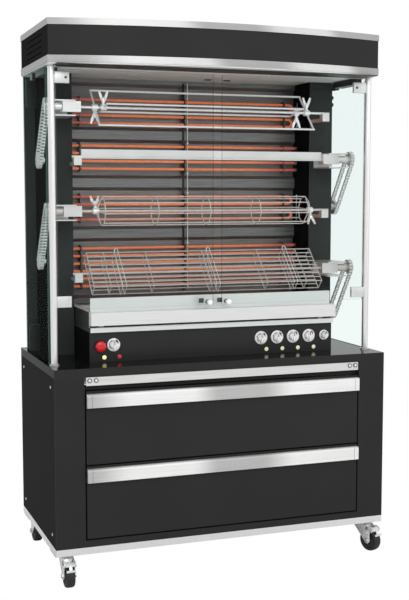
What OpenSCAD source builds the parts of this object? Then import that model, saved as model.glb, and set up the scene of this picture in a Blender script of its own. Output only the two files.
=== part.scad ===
// Electric skewer grill: a glazed tower with four driven spits stands on a
// cabinet with a pull-out shelf and two drawers, and the cabinet on casters.
// Millimetres, +Z up, front towards -Y, origin on the floor below the middle.

/* [Cabinet] */
// Width of the cabinet
cabinet_w = 1200; // [1160:5:1300]
// Depth of the cabinet
cabinet_d = 570; // [560:5:640]
// Height of the cabinet, from its bottom frame to the worktop
cabinet_h = 597; // [590:1:680]
// Height of the stainless bottom frame
frame_h = 23; // [18:1:30]
// Width of the bottom frame's tubes
frame_tube = 25; // [20:1:40]
// Sheet thickness of the panels
sheet = 2; // [1.5:0.1:2.5]
// Height of the worktop's folded edge
worktop_fold = 28; // [20:1:34]
// Width of the front stiles
stile_w = 100; // [90:1:115]
// Depth of the stiles' folded returns
stile_return = 30; // [24:1:40]
// Height of the bottom front rail
bottom_rail_h = 23; // [16:1:26]

/* [Drawers] */
// Height of the gap between the upper drawer front and the shelf's nosing
shelf_clearance = 19; // [16:1:26]
// Gap round and between the drawer fronts
front_gap = 5; // [3:0.5:7]
// Thickness of the folded drawer fronts
front_t = 18; // [14:1:22]
// Depth of the drawer boxes
drawer_box_d = 480; // [400:5:500]
// Height of the drawer boxes
drawer_box_h = 150; // [110:5:165]
// Height of the runners
runner_h = 45; // [35:1:50]
// Space between a drawer box and the cabinet's inner wall
runner_space = 12.7; // [12:0.1:16]
// How far a drawer pulls out
drawer_travel = 400; // [300:10:420]
// Height of the grip channels
grip_h = 45; // [35:1:55]
// How far the grips stand proud of the fronts
grip_depth = 16; // [12:0.5:18]
// Sheet thickness of the grips
grip_t = 1.5; // [1:0.1:2]
// How far the grips lie below the tops of the fronts
grip_drop = 8; // [4:1:14]
// Height of the pull-out shelf's stainless nosing
nosing_h = 28; // [24:1:32]
// Thickness of the pull-out shelf
shelf_t = 18; // [14:1:20]
// Depth of the pull-out shelf
shelf_d = 440; // [350:5:480]

/* [Control box and drip tray] */
// How much narrower the control box is than the cavity, on each side
control_inset = 3; // [2:1:12]
// How far the control box stands back from the worktop's front edge
control_setback = 125; // [110:1:140]
// Height of the control box
control_h = 102; // [96:1:120]
// Height of the ledge over the control box
ledge_h = 16; // [12:1:20]
// How far the ledge stands proud of the control box
ledge_proud = 17; // [12:1:24]
// Height from the ledge to the top of the tray housing
tray_bay_h = 52; // [50:1:64]
// Height of the drip tray's front
tray_front_h = 43; // [38:1:43]
// How far the drip tray's front stands proud of the control box
tray_proud = 32; // [24:1:36]
// Depth of the drip tray's pan
tray_pan_d = 350; // [300:5:360]
// Height of the drip tray's pan
tray_pan_h = 34; // [26:1:36]
// Height of the stainless sill behind the doors
sill_h = 46; // [36:1:52]
// Diameter of a dial knob
dial_d = 47; // [40:1:52]
// Diameter of the small dial knob
small_dial_d = 36; // [30:1:42]
// Depth of the knobs
knob_depth = 20; // [14:1:24]
// Diameter of the stop button's mushroom head
stop_d = 38; // [30:1:42]
// Travel of the stop button
stop_travel = 5; // [3:0.5:7]
// Diameter of an indicator lamp
lamp_d = 18; // [12:1:22]
// Height of the dials over the worktop
dial_z = 57; // [54:1:66]
// Height of the lamps over the worktop
lamp_z = 15; // [12:1:20]

/* [Tower] */
// Height from the worktop to the hood
tower_h = 985; // [960:5:1100]
// Space for the chains between the motor walls and the cabinet's sides
drive_space = 52; // [50:1:56]
// Width of a motor wall
motor_wall_w = 94; // [90:1:100]
// How far the motor walls' fronts lie behind the cabinet's front
motor_wall_setback = 332; // [325:1:345]
// How far the tower's back lies before the cabinet's back
tower_back_gap = 57; // [50:1:60]
// Thickness of the glass
glass_t = 6; // [4:1:8]
// How far the side glass lies inside the cabinet's side
side_glass_inset = 7; // [4:1:8]
// Diameter of the door posts
post_d = 23; // [18:1:26]
// How far the posts' axes lie inside the cabinet's side
post_inset = 24; // [20:1:26]
// How far the posts' axes lie behind the cabinet's front
post_setback = 102; // [90:1:106]
// Gap between the two door leaves
leaf_gap = 32; // [16:1:40]
// Width of a glass clamp plate
clamp_w = 52; // [40:1:60]
// Height of a glass clamp plate
clamp_h = 37; // [30:1:46]

/* [Hood] */
// Height of the hood
hood_h = 140; // [120:1:170]
// How far the hood lies inside the cabinet's sides
hood_inset = 5; // [3:0.5:6]
// How far the hood's front corners lie behind the cabinet's front
hood_setback = 61; // [50:1:70]
// How far the middle of the hood's bowed front stands out from its corners
hood_bow = 81; // [60:1:90]
// Height of the lower hood trim
lower_trim_h = 23; // [16:1:30]
// Height of the upper hood trim
upper_trim_h = 21; // [14:1:28]
// Number of louvre slots in each side of the hood
hood_louvres = 4; // [2:1:5]

/* [Spits] */
// Axis heights of the four spits over the worktop, from the top down
spit_zs = [858, 692, 507, 293];
// How far the spits' axes lie behind the cabinet's front
spit_setback = 223; // [215:1:230]
// Diameter of a spit's shaft
shaft_d = 9; // [8:0.5:12]
// Diameter of a drive hub
hub_d = 30; // [26:1:32]
// Diameter of a drive hub's journal
journal_d = 20; // [16:1:22]
// Diameter of the frames' wire
wire_d = 7; // [5:0.5:8]
// Height of the double frame's wide frame
wide_frame_h = 176; // [150:1:180]
// Height of the double frame's narrow frame
narrow_frame_h = 110; // [90:1:120]
// Distance from the double frame's end to the motor wall
frame_clearance = 54; // [50:1:70]
// How much shorter the narrow frame is, at each end
frame_step = 30; // [26:1:40]
// Diameter of the round cage, between its wires' middles
round_cage_d = 100; // [80:1:110]
// Height of the flat cage
flat_cage_h = 156; // [130:1:160]
// Thickness of the flat cage
flat_cage_t = 40; // [34:1:50]
// Diameter of the cages' wire
cage_wire_d = 4; // [3:0.5:5]
// Width of a drive bracket's opening
bracket_gap = 36; // [34:1:42]
// Thickness of the drive brackets
bracket_t = 4; // [3:0.5:5]
// Gap between a bearing block and the plate below it
bearing_drop = 10; // [6:1:14]
// Size of an idle block along its spit
idle_w = 27; // [20:1:30]
// Height of an idle block
idle_h = 29; // [24:1:34]

/* [Chain drive] */
// Pitch of the roller chain
chain_pitch = 12.7; // [12:0.1:13]
// Number of teeth of the sprockets
teeth = 12; // [12:4:16]
// Number of pitches between the two sprockets' axes
centre_pitches = 17; // [15:1:17]
// How far a motor's axis lies behind its spit's axis
motor_back = 125; // [125:1:130]
// Diameter of the chain's rollers
roller_d = 8.4; // [7.8:0.1:8.6]
// Thickness of the sprockets
sprocket_t = 7; // [6:0.1:7.2]
// Thickness of the link plates
link_t = 1.5; // [1.2:0.1:1.6]
// Distance from the cabinet's side to the middle of the chain
chain_inset = 32; // [31:0.5:34]
// Diameter of a gear motor's output shaft
motor_shaft_d = 12; // [10:0.5:14]

/* [Heating] */
// Diameter of the tubular heating elements
element_d = 10; // [8:0.1:11]
// Distance between two rods
rod_pitch = 27.5; // [24:0.1:28]
// Height over the worktop of each bay's top rod
bay_zs = [903, 739, 555, 368];
// Number of hairpin elements in each bay
bay_pins = [2, 2, 2, 3];
// How far the rods lie before the tower's back
rod_back_gap = 63; // [60:1:66]

/* [Casters] */
// Height from the floor to the bottom frame
caster_h = 111; // [108:1:130]
// Diameter of a caster wheel
wheel_d = 80; // [70:1:80]
// Width of a caster wheel
wheel_w = 30; // [24:1:34]
// How far a wheel trails its swivel axis
trail = 38; // [32:1:42]
// How far the swivel axes lie inside the cabinet's sides
swivel_inset_x = 45; // [45:1:55]
// Turn of the front right caster at rest, in degrees
front_right_turn = 20; // [0:1:25]

/* [Fits] */
// Radial clearance of a shaft in its bore
fit = 0.05; // [0.03:0.01:0.08]
// Gap at a sliding or turning face
slide_gap = 0.3; // [0.2:0.05:0.4]

/* [Hidden] */
$fn = 48;

half_w = cabinet_w / 2;
hood_w = cabinet_w - 2 * hood_inset;
front_y = -cabinet_d / 2;
back_y = cabinet_d / 2;
frame_z = caster_h + frame_h;
worktop_z = frame_z + cabinet_h;
under_worktop = worktop_z - worktop_fold;
hood_z = worktop_z + tower_h;
hood_top = hood_z + hood_h;
reach = hood_bow - hood_setback;

// Cabinet front
opening = half_w - stile_w;
inner_wall_front = front_y + stile_return;
front_half = opening - front_gap;
lower_front_z = frame_z + bottom_rail_h + front_gap;
nosing_z = under_worktop - 1 - nosing_h;
drawer_front_h = (nosing_z - shelf_clearance - lower_front_z - front_gap) / 2;
upper_front_z = lower_front_z + drawer_front_h + front_gap;
drawer_half = opening - runner_space;
box_lift = 20;
upper_rail_z = upper_front_z + drawer_front_h + 2;

// Tower
tower_back = back_y - tower_back_gap;
wall_out = half_w - drive_space;
cavity_half = wall_out - motor_wall_w;
wall_front = front_y + motor_wall_setback;
ceiling_t = 4;
ceiling_z = hood_z - ceiling_t;
control_half = cavity_half - control_inset;
control_front = front_y + control_setback;
control_top = worktop_z + control_h;
bay_floor = control_top + ledge_h;
housing_top = bay_floor + tray_bay_h;
tray_front_y = control_front - tray_proud;
post_x = half_w - post_inset;
post_y = front_y + post_setback;
glass_x = half_w - side_glass_inset;
door_bottom = housing_top + 14;
door_top = ceiling_z - 12;

// Hood plan: a rectangle whose front is an arc of this radius
hood_front = front_y + hood_setback;
bow_r = (pow(hood_w / 2, 2) + pow(hood_bow, 2)) / (2 * hood_bow);

// Spits, from the top down: height and drive side (-1 is left)
spit_y = front_y + spit_setback;
drive_sides = [-1, 1, -1, 1];
chain_x = half_w - chain_inset;
motor_y = spit_y + motor_back;
centre_dist = centre_pitches * chain_pitch;
motor_drop = sqrt(pow(centre_dist, 2) - pow(motor_back, 2));
chain_turn = atan2(-motor_drop, motor_back);
pitch_r = chain_pitch / (2 * sin(180 / teeth));
link_gap = 0.15;
inner_plate = sprocket_t / 2 + 0.6;
outer_plate = inner_plate + link_t + link_gap;
hub_in = cavity_half - 2;
hub_out = hub_in + 46;
journal_out = hub_out + 20;
idle_in = cavity_half - 4;

rod_y = tower_back - rod_back_gap;
reflector_y = rod_y + 27;
ridge_depth = 14;

wheel_r = wheel_d / 2;
swivel_x = half_w - swivel_inset_x;
swivel_y = cabinet_d / 2 + reach - wheel_r - trail;
crown_z = wheel_d + 15;

// A box between two corners
module slab(x0, x1, y0, y1, z0, z1)
    translate([x0, y0, z0]) cube([x1 - x0, y1 - y0, z1 - z0]);

// A cylinder along X, Y or Z between two places
module rod_x(x0, x1, y, z, r, sides = 48)
    translate([x0, y, z]) rotate([0, 90, 0]) cylinder(h = x1 - x0, r = r, $fn = sides);
module rod_y(x, y0, y1, z, r, sides = 48)
    translate([x, y0, z]) rotate([-90, 0, 0]) cylinder(h = y1 - y0, r = r, $fn = sides);
module rod_z(x, y, z0, z1, r, sides = 48)
    translate([x, y, z0]) cylinder(h = z1 - z0, r = r, $fn = sides);

// A profile drawn in the Y-Z plane, extruded along X
module along_x(x0, x1)
    translate([x0, 0, 0]) rotate([90, 0, 90]) linear_extrude(height = x1 - x0) children();

// A straight wire between two points, as a prism with a few sides
module wire(a, b, d, sides = 8) {
    v = b - a;
    len = norm(v);
    translate(a) rotate([0, acos(v[2] / len), atan2(v[1], v[0])])
        cylinder(h = len, r = d / 2, $fn = sides);
}

module both_sides() {
    children();
    mirror([1, 0, 0]) children();
}

// ---- Cabinet ----

module bottom_frame() color("silver") {
    both_sides() slab(half_w - frame_tube, half_w, front_y, back_y, caster_h, frame_z);
    slab(-half_w + frame_tube, half_w - frame_tube, front_y, front_y + frame_tube,
        caster_h, frame_z);
    slab(-half_w + frame_tube, half_w - frame_tube, back_y - frame_tube, back_y,
        caster_h, frame_z);
}

// Side sheet with a flange folded round the back corner
module right_side_panel() color("#2c2c2c") {
    translate([0, 0, frame_z]) linear_extrude(height = under_worktop - frame_z)
        polygon([[half_w - sheet, front_y + sheet], [half_w, front_y + sheet],
            [half_w, back_y], [half_w - 25, back_y], [half_w - 25, back_y - sheet],
            [half_w - sheet, back_y - sheet]]);
}

module left_side_panel() mirror([1, 0, 0]) right_side_panel();

module cabinet_back() color("#2c2c2c") difference() {
    slab(-half_w + sheet, half_w - sheet, back_y - 2 * sheet, back_y - sheet,
        frame_z + sheet, under_worktop);
    for (row = [0:5], side = [-1, 1])
        translate([side * half_w / 2, back_y - 1.5 * sheet, under_worktop - 60 - 16 * row])
            cube([0.15 * cabinet_w, 3 * sheet, 4], center = true);
}

// Floor plate, notched round the front stiles
module cabinet_floor() color("#2c2c2c") difference() {
    slab(-half_w + sheet, half_w - sheet, front_y + sheet, back_y - sheet,
        frame_z, frame_z + sheet);
    both_sides() slab(opening, half_w, front_y, inner_wall_front,
        frame_z - 1, frame_z + sheet + 1);
}

// Folded stiles at the corners, and the rails between them
module front_frame() color("#363636") {
    both_sides() translate([0, 0, frame_z]) linear_extrude(height = under_worktop - frame_z)
        polygon([[half_w, front_y], [half_w, front_y + sheet],
            [opening + sheet, front_y + sheet], [opening + sheet, inner_wall_front],
            [opening, inner_wall_front], [opening, front_y]]);
    rail_half = opening + sheet / 2;
    along_x(-rail_half, rail_half) polygon([[front_y, frame_z], [front_y + sheet, frame_z],
        [front_y + sheet, frame_z + bottom_rail_h - sheet],
        [inner_wall_front, frame_z + bottom_rail_h - sheet],
        [inner_wall_front, frame_z + bottom_rail_h], [front_y, frame_z + bottom_rail_h]]);
    slab(-rail_half, rail_half, inner_wall_front - 12, inner_wall_front,
        upper_rail_z, upper_rail_z + 10);
}

module square_at(y0, y1, z0, z1) translate([y0, z0]) square([y1 - y0, z1 - z0]);

// Worktop: a sheet with all four edges folded down
module worktop() color("#3a3a3a") difference() {
    slab(-half_w, half_w, front_y, back_y, under_worktop, worktop_z);
    slab(-half_w + sheet, half_w - sheet, front_y + sheet, back_y - sheet,
        under_worktop - 1, worktop_z - sheet);
}

// A C-shaped runner on an inner wall, open towards the drawer
module runner(z, h, y1) along_runner(y1) polygon([[opening, z], [opening - 10, z],
    [opening - 10, z + sheet], [opening - sheet, z + sheet],
    [opening - sheet, z + h - sheet], [opening - 10, z + h - sheet],
    [opening - 10, z + h], [opening, z + h]]);

module along_runner(y1)
    translate([0, y1, 0]) rotate([90, 0, 0])
        linear_extrude(height = y1 - inner_wall_front) children();

drawer_runner_z = [lower_front_z + 90, upper_front_z + 90];
shelf_z = nosing_z + (nosing_h - shelf_t) / 2;
shelf_runner_z = shelf_z - sheet - slide_gap;
shelf_runner_h = shelf_t + 2 * (sheet + slide_gap);

module drawer_runners() color("#8a8d90") both_sides() {
    slab(opening, opening + sheet, inner_wall_front, back_y - 2 * sheet,
        frame_z + sheet, under_worktop);
    for (z = drawer_runner_z) runner(z, runner_h, back_y - 40);
    runner(shelf_runner_z, shelf_runner_h, back_y - 40);
}

// One drawer: folded front, open at the back, and box with the slide bars on its sides
module drawer(z) {
    box_back = front_y + front_t + drawer_box_d;
    box_z = z + box_lift;
    bar_z = z + 90 + sheet + slide_gap;
    color("#363636") difference() {
        union() {
            difference() {
                slab(-front_half, front_half, front_y, front_y + front_t,
                    z, z + drawer_front_h);
                slab(-front_half + sheet, front_half - sheet, front_y + sheet,
                    front_y + front_t + 1, z + sheet, z + drawer_front_h - sheet);
            }
            slab(-drawer_half, drawer_half, front_y, box_back, box_z, box_z + drawer_box_h);
            both_sides() slab(drawer_half - sheet / 2, opening - sheet - slide_gap,
                inner_wall_front + 8, box_back - 10, bar_z,
                bar_z + runner_h - 2 * (sheet + slide_gap));
        }
        slab(-drawer_half + sheet, drawer_half - sheet, front_y + sheet,
            box_back - sheet, box_z + sheet, box_z + drawer_box_h + 1);
    }
}

module upper_drawer() drawer(upper_front_z);
module lower_drawer() drawer(lower_front_z);

// Channel grip: open below for the fingers, with closed ends
module grip(z) {
    face = front_y;
    fore = face - grip_depth;
    round_r = 8;
    color("#d8d8d8") difference() {
        along_x(-front_half, front_half) union() {
            square_at(fore, face, z, z + grip_h - round_r);
            square_at(fore + round_r, face, z, z + grip_h);
            translate([fore + round_r, z + grip_h - round_r]) circle(r = round_r);
        }
        along_x(-front_half + grip_t, front_half - grip_t) union() {
            square_at(fore + grip_t, face - grip_t, z + grip_t, z + grip_h - round_r);
            square_at(fore + round_r, face - grip_t, z + grip_t, z + grip_h - grip_t);
            translate([fore + round_r, z + grip_h - round_r]) circle(r = round_r - grip_t);
            square_at(fore + grip_t + 2.5, face + 1, z - 1, z + grip_h - 12);
        }
    }
}

module upper_drawer_grip() grip(upper_front_z + drawer_front_h - grip_drop - grip_h);
module lower_drawer_grip() grip(lower_front_z + drawer_front_h - grip_drop - grip_h);

// Pull-out shelf: a folded sheet behind a nosing with two press studs
module pull_out_shelf() color("#c8c8c8") {
    board_half = opening - sheet - slide_gap;
    difference() {
        slab(-board_half, board_half, inner_wall_front + 2, front_y + shelf_d,
            shelf_z, shelf_z + shelf_t);
        slab(-board_half + sheet, board_half - sheet, inner_wall_front + 2 + sheet,
            front_y + shelf_d - sheet, shelf_z - 1, shelf_z + shelf_t - sheet);
    }
    slab(-board_half + 30, board_half - 30, front_y, inner_wall_front + 2,
        shelf_z + shelf_t - sheet, shelf_z + shelf_t);
    slab(-front_half, front_half, front_y - 3, front_y, nosing_z, nosing_z + nosing_h);
    both_sides() rod_y(front_half - 34, front_y - 5, front_y - 2,
        nosing_z + nosing_h / 2, nosing_h / 4);
}

// ---- Control box and drip tray ----

// Places along the control box, from its ends
dial_xs = [for (i = [0:3]) control_half - 278 + 62 * i];
small_dial_x = control_half - 31;
selector_x = 83 - control_half;
stop_x = 37 - control_half;
front_lamps = [[51 - control_half, lamp_z], [104 - control_half, lamp_z],
    [control_half - 256, lamp_z], [control_half - 194, lamp_z],
    [control_half - 133, lamp_z], [control_half - 71, lamp_z]];
knob_shaft = 8;

module control_box() color("#303030") difference() {
    slab(-control_half, control_half, control_front, tower_back, worktop_z, control_top);
    slab(-control_half + sheet, control_half - sheet, control_front + sheet,
        tower_back - sheet, worktop_z - 1, control_top - sheet);
    for (x = concat(dial_xs, [small_dial_x, selector_x]))
        rod_y(x, control_front - 1, control_front + sheet + 1, worktop_z + dial_z,
            knob_shaft / 2 + fit);
    rod_y(stop_x, control_front - 1, control_front + sheet + 1, worktop_z + dial_z - 4,
        knob_shaft / 2 + fit);
    for (p = front_lamps)
        rod_y(p[0], control_front - 1, control_front + sheet + 1, worktop_z + p[1],
            lamp_d / 2 - 2);
}

module indicator_lamps() for (i = [0:5]) {
    p = front_lamps[i];
    color(i == 0 ? "khaki" : i == 1 ? "red" : "palegreen") {
        rod_y(p[0], control_front - 3, control_front, worktop_z + p[1], lamp_d / 2);
        rod_y(p[0], control_front, control_front + 20, worktop_z + p[1], lamp_d / 2 - 2.2);
    }
}

// Knob with a stepped skirt and a pointer rib, on its shaft
module knob(x, z, d) color("#dcdcdc") {
    face = control_front - slide_gap;
    rod_y(x, face - knob_depth * 0.3, face, z, d / 2);
    rod_y(x, face - knob_depth * 0.6, face - knob_depth * 0.3, z, d * 0.4);
    slab(x - d * 0.09, x + d * 0.09, face - knob_depth, face - knob_depth * 0.6,
        z - d * 0.38, z + d * 0.38);
    rod_y(x, face, control_front + 18, z, knob_shaft / 2);
}

module dial_1() knob(dial_xs[0], worktop_z + dial_z, dial_d);
module dial_2() knob(dial_xs[1], worktop_z + dial_z, dial_d);
module dial_3() knob(dial_xs[2], worktop_z + dial_z, dial_d);
module dial_4() knob(dial_xs[3], worktop_z + dial_z, dial_d);
module dial_5() knob(small_dial_x, worktop_z + dial_z, small_dial_d);
module selector_knob() knob(selector_x, worktop_z + dial_z, dial_d - 2);

// Mushroom head on a neck, with room for its travel
module stop_button() color("#c02820") {
    z = worktop_z + dial_z - 4;
    face = control_front - stop_travel - 3;
    translate([stop_x, face, z]) rotate([90, 0, 0]) rotate_extrude()
        polygon([[0, 0], [stop_d / 2 - 1, 0], [stop_d / 2, 1], [stop_d / 2, 5],
            [stop_d / 2 - 3, 8], [stop_d / 2 - 8, 10], [0, 11]]);
    rod_y(stop_x, face, control_front + 20, z, knob_shaft / 2);
}

tray_open_half = control_half - 26;
tray_open_front = control_front + 34;
tray_open_back = reflector_y - 8;

// Stainless housing over the tray: ledge and floor, cheeks, pierced top, sill
module tray_housing() color("#d4d4d4") {
    ledge_front = control_front - ledge_proud;
    difference() {
        union() {
            slab(-control_half, control_half, control_front, tower_back,
                control_top, housing_top);
            slab(-control_half, control_half, ledge_front, control_front,
                control_top, bay_floor);
        }
        slab(-control_half + sheet, control_half - sheet, ledge_front + sheet,
            tower_back - sheet, control_top - 1, bay_floor - sheet);
        slab(-control_half + sheet, control_half - sheet, control_front - 1,
            tower_back - sheet, bay_floor, housing_top - sheet);
        slab(-tray_open_half, tray_open_half, tray_open_front, tray_open_back,
            housing_top - sheet - 1, housing_top + 1);
    }
    both_sides() slab(tray_pan_half - 40, tray_pan_half - 20, control_front + 4,
        tower_back - sheet, bay_floor - sheet / 2, tray_z - slide_gap);
    // sill, folded back along its top and out along its foot
    along_x(-control_half + 5, control_half - 5) polygon([
        [control_front + 6, housing_top - sheet / 2],
        [control_front + 24, housing_top - sheet / 2],
        [control_front + 24, housing_top + sheet], [control_front + 6 + sheet,
        housing_top + sheet], [control_front + 6 + sheet, housing_top + sill_h - sheet],
        [control_front + 18, housing_top + sill_h - sheet],
        [control_front + 18, housing_top + sill_h], [control_front + 6,
        housing_top + sill_h]]);
}

tray_z = bay_floor + 7;
tray_pan_half = control_half - 12;

// Fat tray: a pan with a deep folded front and two finger notches below
module drip_tray() color("#d8d8d8") {
    pan_front = control_front + 2;
    front_top = housing_top - 0.5;
    difference() {
        union() {
            slab(-tray_pan_half, tray_pan_half, pan_front, pan_front + tray_pan_d,
                tray_z, tray_z + tray_pan_h);
            slab(-control_half - 1, control_half + 1, tray_front_y, control_front - slide_gap,
                front_top - tray_front_h, front_top);
            slab(-tray_pan_half, tray_pan_half, control_front - slide_gap - sheet,
                pan_front, tray_z, tray_z + tray_pan_h);
        }
        slab(-tray_pan_half + sheet, tray_pan_half - sheet, pan_front + sheet,
            pan_front + tray_pan_d - sheet, tray_z + sheet, tray_z + tray_pan_h + 1);
        slab(-control_half - 1 + sheet, control_half + 1 - sheet, tray_front_y + sheet,
            control_front - slide_gap - sheet, front_top - tray_front_h - 1,
            front_top - sheet);
    }
}

// ---- Tower ----

// Motor walls: folded channels closed by the rear panel
module motor_walls() color("#3a3d3c") both_sides() difference() {
    slab(cavity_half, wall_out, wall_front, tower_back, worktop_z, ceiling_z);
    slab(cavity_half + sheet, wall_out - sheet, wall_front + sheet, tower_back + 1,
        worktop_z - 1, ceiling_z + 1);
    for (i = [0:3]) {
        rod_x(wall_out - 2 * sheet, wall_out + 1, motor_y,
            worktop_z + spit_zs[i] - motor_drop, motor_shaft_d / 2 + 1);
        for (k = [0:2 * bay_pins[i] - 1])
            rod_x(cavity_half - 1, cavity_half + 2 * sheet, rod_y,
                worktop_z + bay_zs[i] - k * rod_pitch, element_d / 2 + 0.4);
    }
}

module rear_panel() color("#3a3d3c") difference() {
    slab(glass_t - glass_x, glass_x - glass_t, tower_back, tower_back + sheet,
        worktop_z, ceiling_z);
    for (row = [0:9], side = [-1, 1])
        translate([side * (cavity_half + motor_wall_w / 2), tower_back + sheet / 2,
            ceiling_z - 80 - 18 * row]) cube([60, 3 * sheet, 5], center = true);
}

// Height of the ridge above bay i; the last one is the foot of the bottom bay
function ridge_z(i) = i == 0 ? ceiling_z : i == 4 ? housing_top
    : worktop_z + (bay_zs[i - 1] - (2 * bay_pins[i - 1] - 1) * rod_pitch + bay_zs[i]) / 2;

// One folded reflector pan, with ridges that meet the next pans
module reflector(i) {
    top = ridge_z(i);
    foot = ridge_z(i + 1);
    lip = 16;
    slope = 12;
    ridge_y = reflector_y - ridge_depth;
    outer = [[ridge_y, top], [ridge_y, top - lip], [reflector_y, top - lip - slope],
        [reflector_y, foot + lip + slope], [ridge_y, foot + lip], [ridge_y, foot]];
    inner = [for (j = [5:-1:0]) outer[j] + [1.5, 0]];
    along_x(-cavity_half, cavity_half) polygon(concat(outer, inner));
}

module reflectors() color("#9a9a94") for (i = [0:3]) reflector(i);

// Hairpin heating element: two rods and a bend, its tails through one wall
module hairpin(z, side) {
    bend_x = -side * (cavity_half - 34);
    tail_x = side * (cavity_half + 38);
    for (dz = [0, -rod_pitch])
        rod_x(min(bend_x, tail_x), max(bend_x, tail_x), rod_y, z + dz, element_d / 2);
    translate([bend_x, rod_y, z - rod_pitch / 2]) rotate([90, side * 90 + 180, 0])
        rotate_extrude(angle = 180) translate([rod_pitch / 2, 0]) circle(d = element_d);
}

module heating_elements() color("#d9763f") for (i = [0:3], k = [0:bay_pins[i] - 1])
    hairpin(worktop_z + bay_zs[i] - 2 * k * rod_pitch, drive_sides[i]);

// Combs that carry the rods in front of the reflectors
module element_supports() color("#b8b4ac") for (i = [0:3], x = [-0.92, 0, 0.92])
    difference() {
        top = worktop_z + bay_zs[i] + 12;
        rods = 2 * bay_pins[i];
        slab(x * (cavity_half - 20) - 1.5, x * (cavity_half - 20) + 1.5, rod_y - 9,
            reflector_y, top - (rods - 1) * rod_pitch - 24, top);
        for (k = [0:rods - 1])
            rod_x(x * (cavity_half - 20) - 2, x * (cavity_half - 20) + 2, rod_y,
                worktop_z + bay_zs[i] - k * rod_pitch, element_d / 2 + fit * 3);
    }

// Plan of the hood, drawn in by a distance on every side
module hood_plan(inset) intersection() {
    translate([-hood_w / 2 + inset, hood_front - hood_bow + inset])
        square([hood_w - 2 * inset, tower_back + sheet - hood_front + hood_bow - 2 * inset]);
    translate([0, hood_front - hood_bow + bow_r]) circle(r = bow_r - inset, $fn = 360);
}

module ceiling_panel() color("#c9cbc8") translate([0, 0, ceiling_z])
    linear_extrude(height = ceiling_t) hood_plan(sheet);

louvre_pitch = (hood_h - lower_trim_h - upper_trim_h) / (hood_louvres + 1);

module hood_shell() color("#2c2c2c") difference() {
    translate([0, 0, hood_z + lower_trim_h])
        linear_extrude(height = hood_h - lower_trim_h - upper_trim_h) hood_plan(sheet);
    translate([0, 0, hood_z])
        linear_extrude(height = hood_h - upper_trim_h - sheet) hood_plan(2 * sheet);
    for (i = [1:hood_louvres], side = [-1, 1])
        translate([side * hood_w / 2, (hood_front + tower_back) / 2,
            hood_z + lower_trim_h + i * louvre_pitch])
            cube([20, tower_back - hood_front - 202, 4], center = true);
}

// A stainless band round the hood with a lip turned in, made of three or four strips
module trim_band(z, h, lip, lip_z, with_back) {
    corner = hood_front + 12;
    back = tower_back - 10;
    module ring(y0, y1, x0, x1) intersection() {
        difference() {
            translate([0, 0, z]) linear_extrude(height = h) hood_plan(0);
            translate([0, 0, z - 1]) linear_extrude(height = h + 2) hood_plan(lip);
            translate([0, 0, lip_z]) linear_extrude(height = h) hood_plan(sheet);
        }
        slab(x0, x1, y0, y1, z - 1, z + h + 1);
    }
    ring(hood_front - hood_bow - 1, corner, -hood_w, hood_w);
    ring(corner, back, 0, hood_w);
    ring(corner, back, -hood_w, 0);
    if (with_back) ring(back, tower_back + 10, -hood_w, hood_w);
}

module hood_trims() color("#d8d8d8") {
    trim_band(hood_z, lower_trim_h, 26, hood_z + sheet, true);
    translate([0, 0, 2 * (hood_top - upper_trim_h) + upper_trim_h]) mirror([0, 0, 1])
        trim_band(hood_top - upper_trim_h, upper_trim_h, 16,
            hood_top - upper_trim_h + sheet, true);
}

module side_glass() color([0.85, 0.93, 0.9, 0.4]) both_sides()
    slab(glass_x - glass_t, glass_x, post_y + 16, tower_back - 20, worktop_z, ceiling_z);

// Angle clips of the side glass, and the feet and top bearings of the door posts
module glass_fittings() color("#c4c4c4") both_sides() {
    for (z = [worktop_z, ceiling_z - 110])
        slab(wall_out, glass_x - glass_t, tower_back - 45, tower_back - 39, z, z + 95);
    slab(glass_x - glass_t - 14, glass_x - glass_t, wall_front + 20, wall_front + 60,
        ceiling_z - 24, ceiling_z);
    rod_z(post_x, post_y, worktop_z, worktop_z + 4, post_d / 2 + 5);
    rod_z(post_x, post_y, worktop_z + 4, worktop_z + 24, 5);
    slab(post_x - 14, post_x + 10, post_y - 14, post_y + 30, ceiling_z - 4, ceiling_z);
    rod_z(post_x, post_y, ceiling_z - 24, ceiling_z - 4, 5);
}

knob_x = 34.5;
knob_z = door_bottom + 10;
leaf_in = leaf_gap / 2;

module right_door_glass() color([0.85, 0.93, 0.9, 0.3]) difference() {
    slab(leaf_in, post_x - post_d / 2 - 3, post_y - glass_t / 2, post_y + glass_t / 2,
        door_bottom, door_top);
    rod_y(knob_x, post_y - glass_t, post_y + glass_t, knob_z + 2, 5);
}

// Post with the two glass clamps, and the knob through the glass
module right_door_post() color("#d8d8d8") {
    difference() {
        union() {
            rod_z(post_x, post_y, worktop_z + 4 + slide_gap, ceiling_z - 4 - slide_gap,
                post_d / 2);
            for (z = [door_bottom + 8, door_top - 8 - clamp_h], s = [-1, 1])
                clamp_plate(z, s);
        }
        for (z = [worktop_z, ceiling_z - 26]) rod_z(post_x, post_y, z, z + 26, 5 + fit);
    }
    rod_y(knob_x, post_y - glass_t / 2 - 24, post_y - glass_t / 2 - 8, knob_z + 2, 9.5);
    rod_y(knob_x, post_y - glass_t / 2 - 8, post_y + glass_t / 2 + 2, knob_z + 2, 4.9);
    rod_y(knob_x, post_y + glass_t / 2, post_y + glass_t / 2 + 6, knob_z + 2, 8);
}

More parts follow.
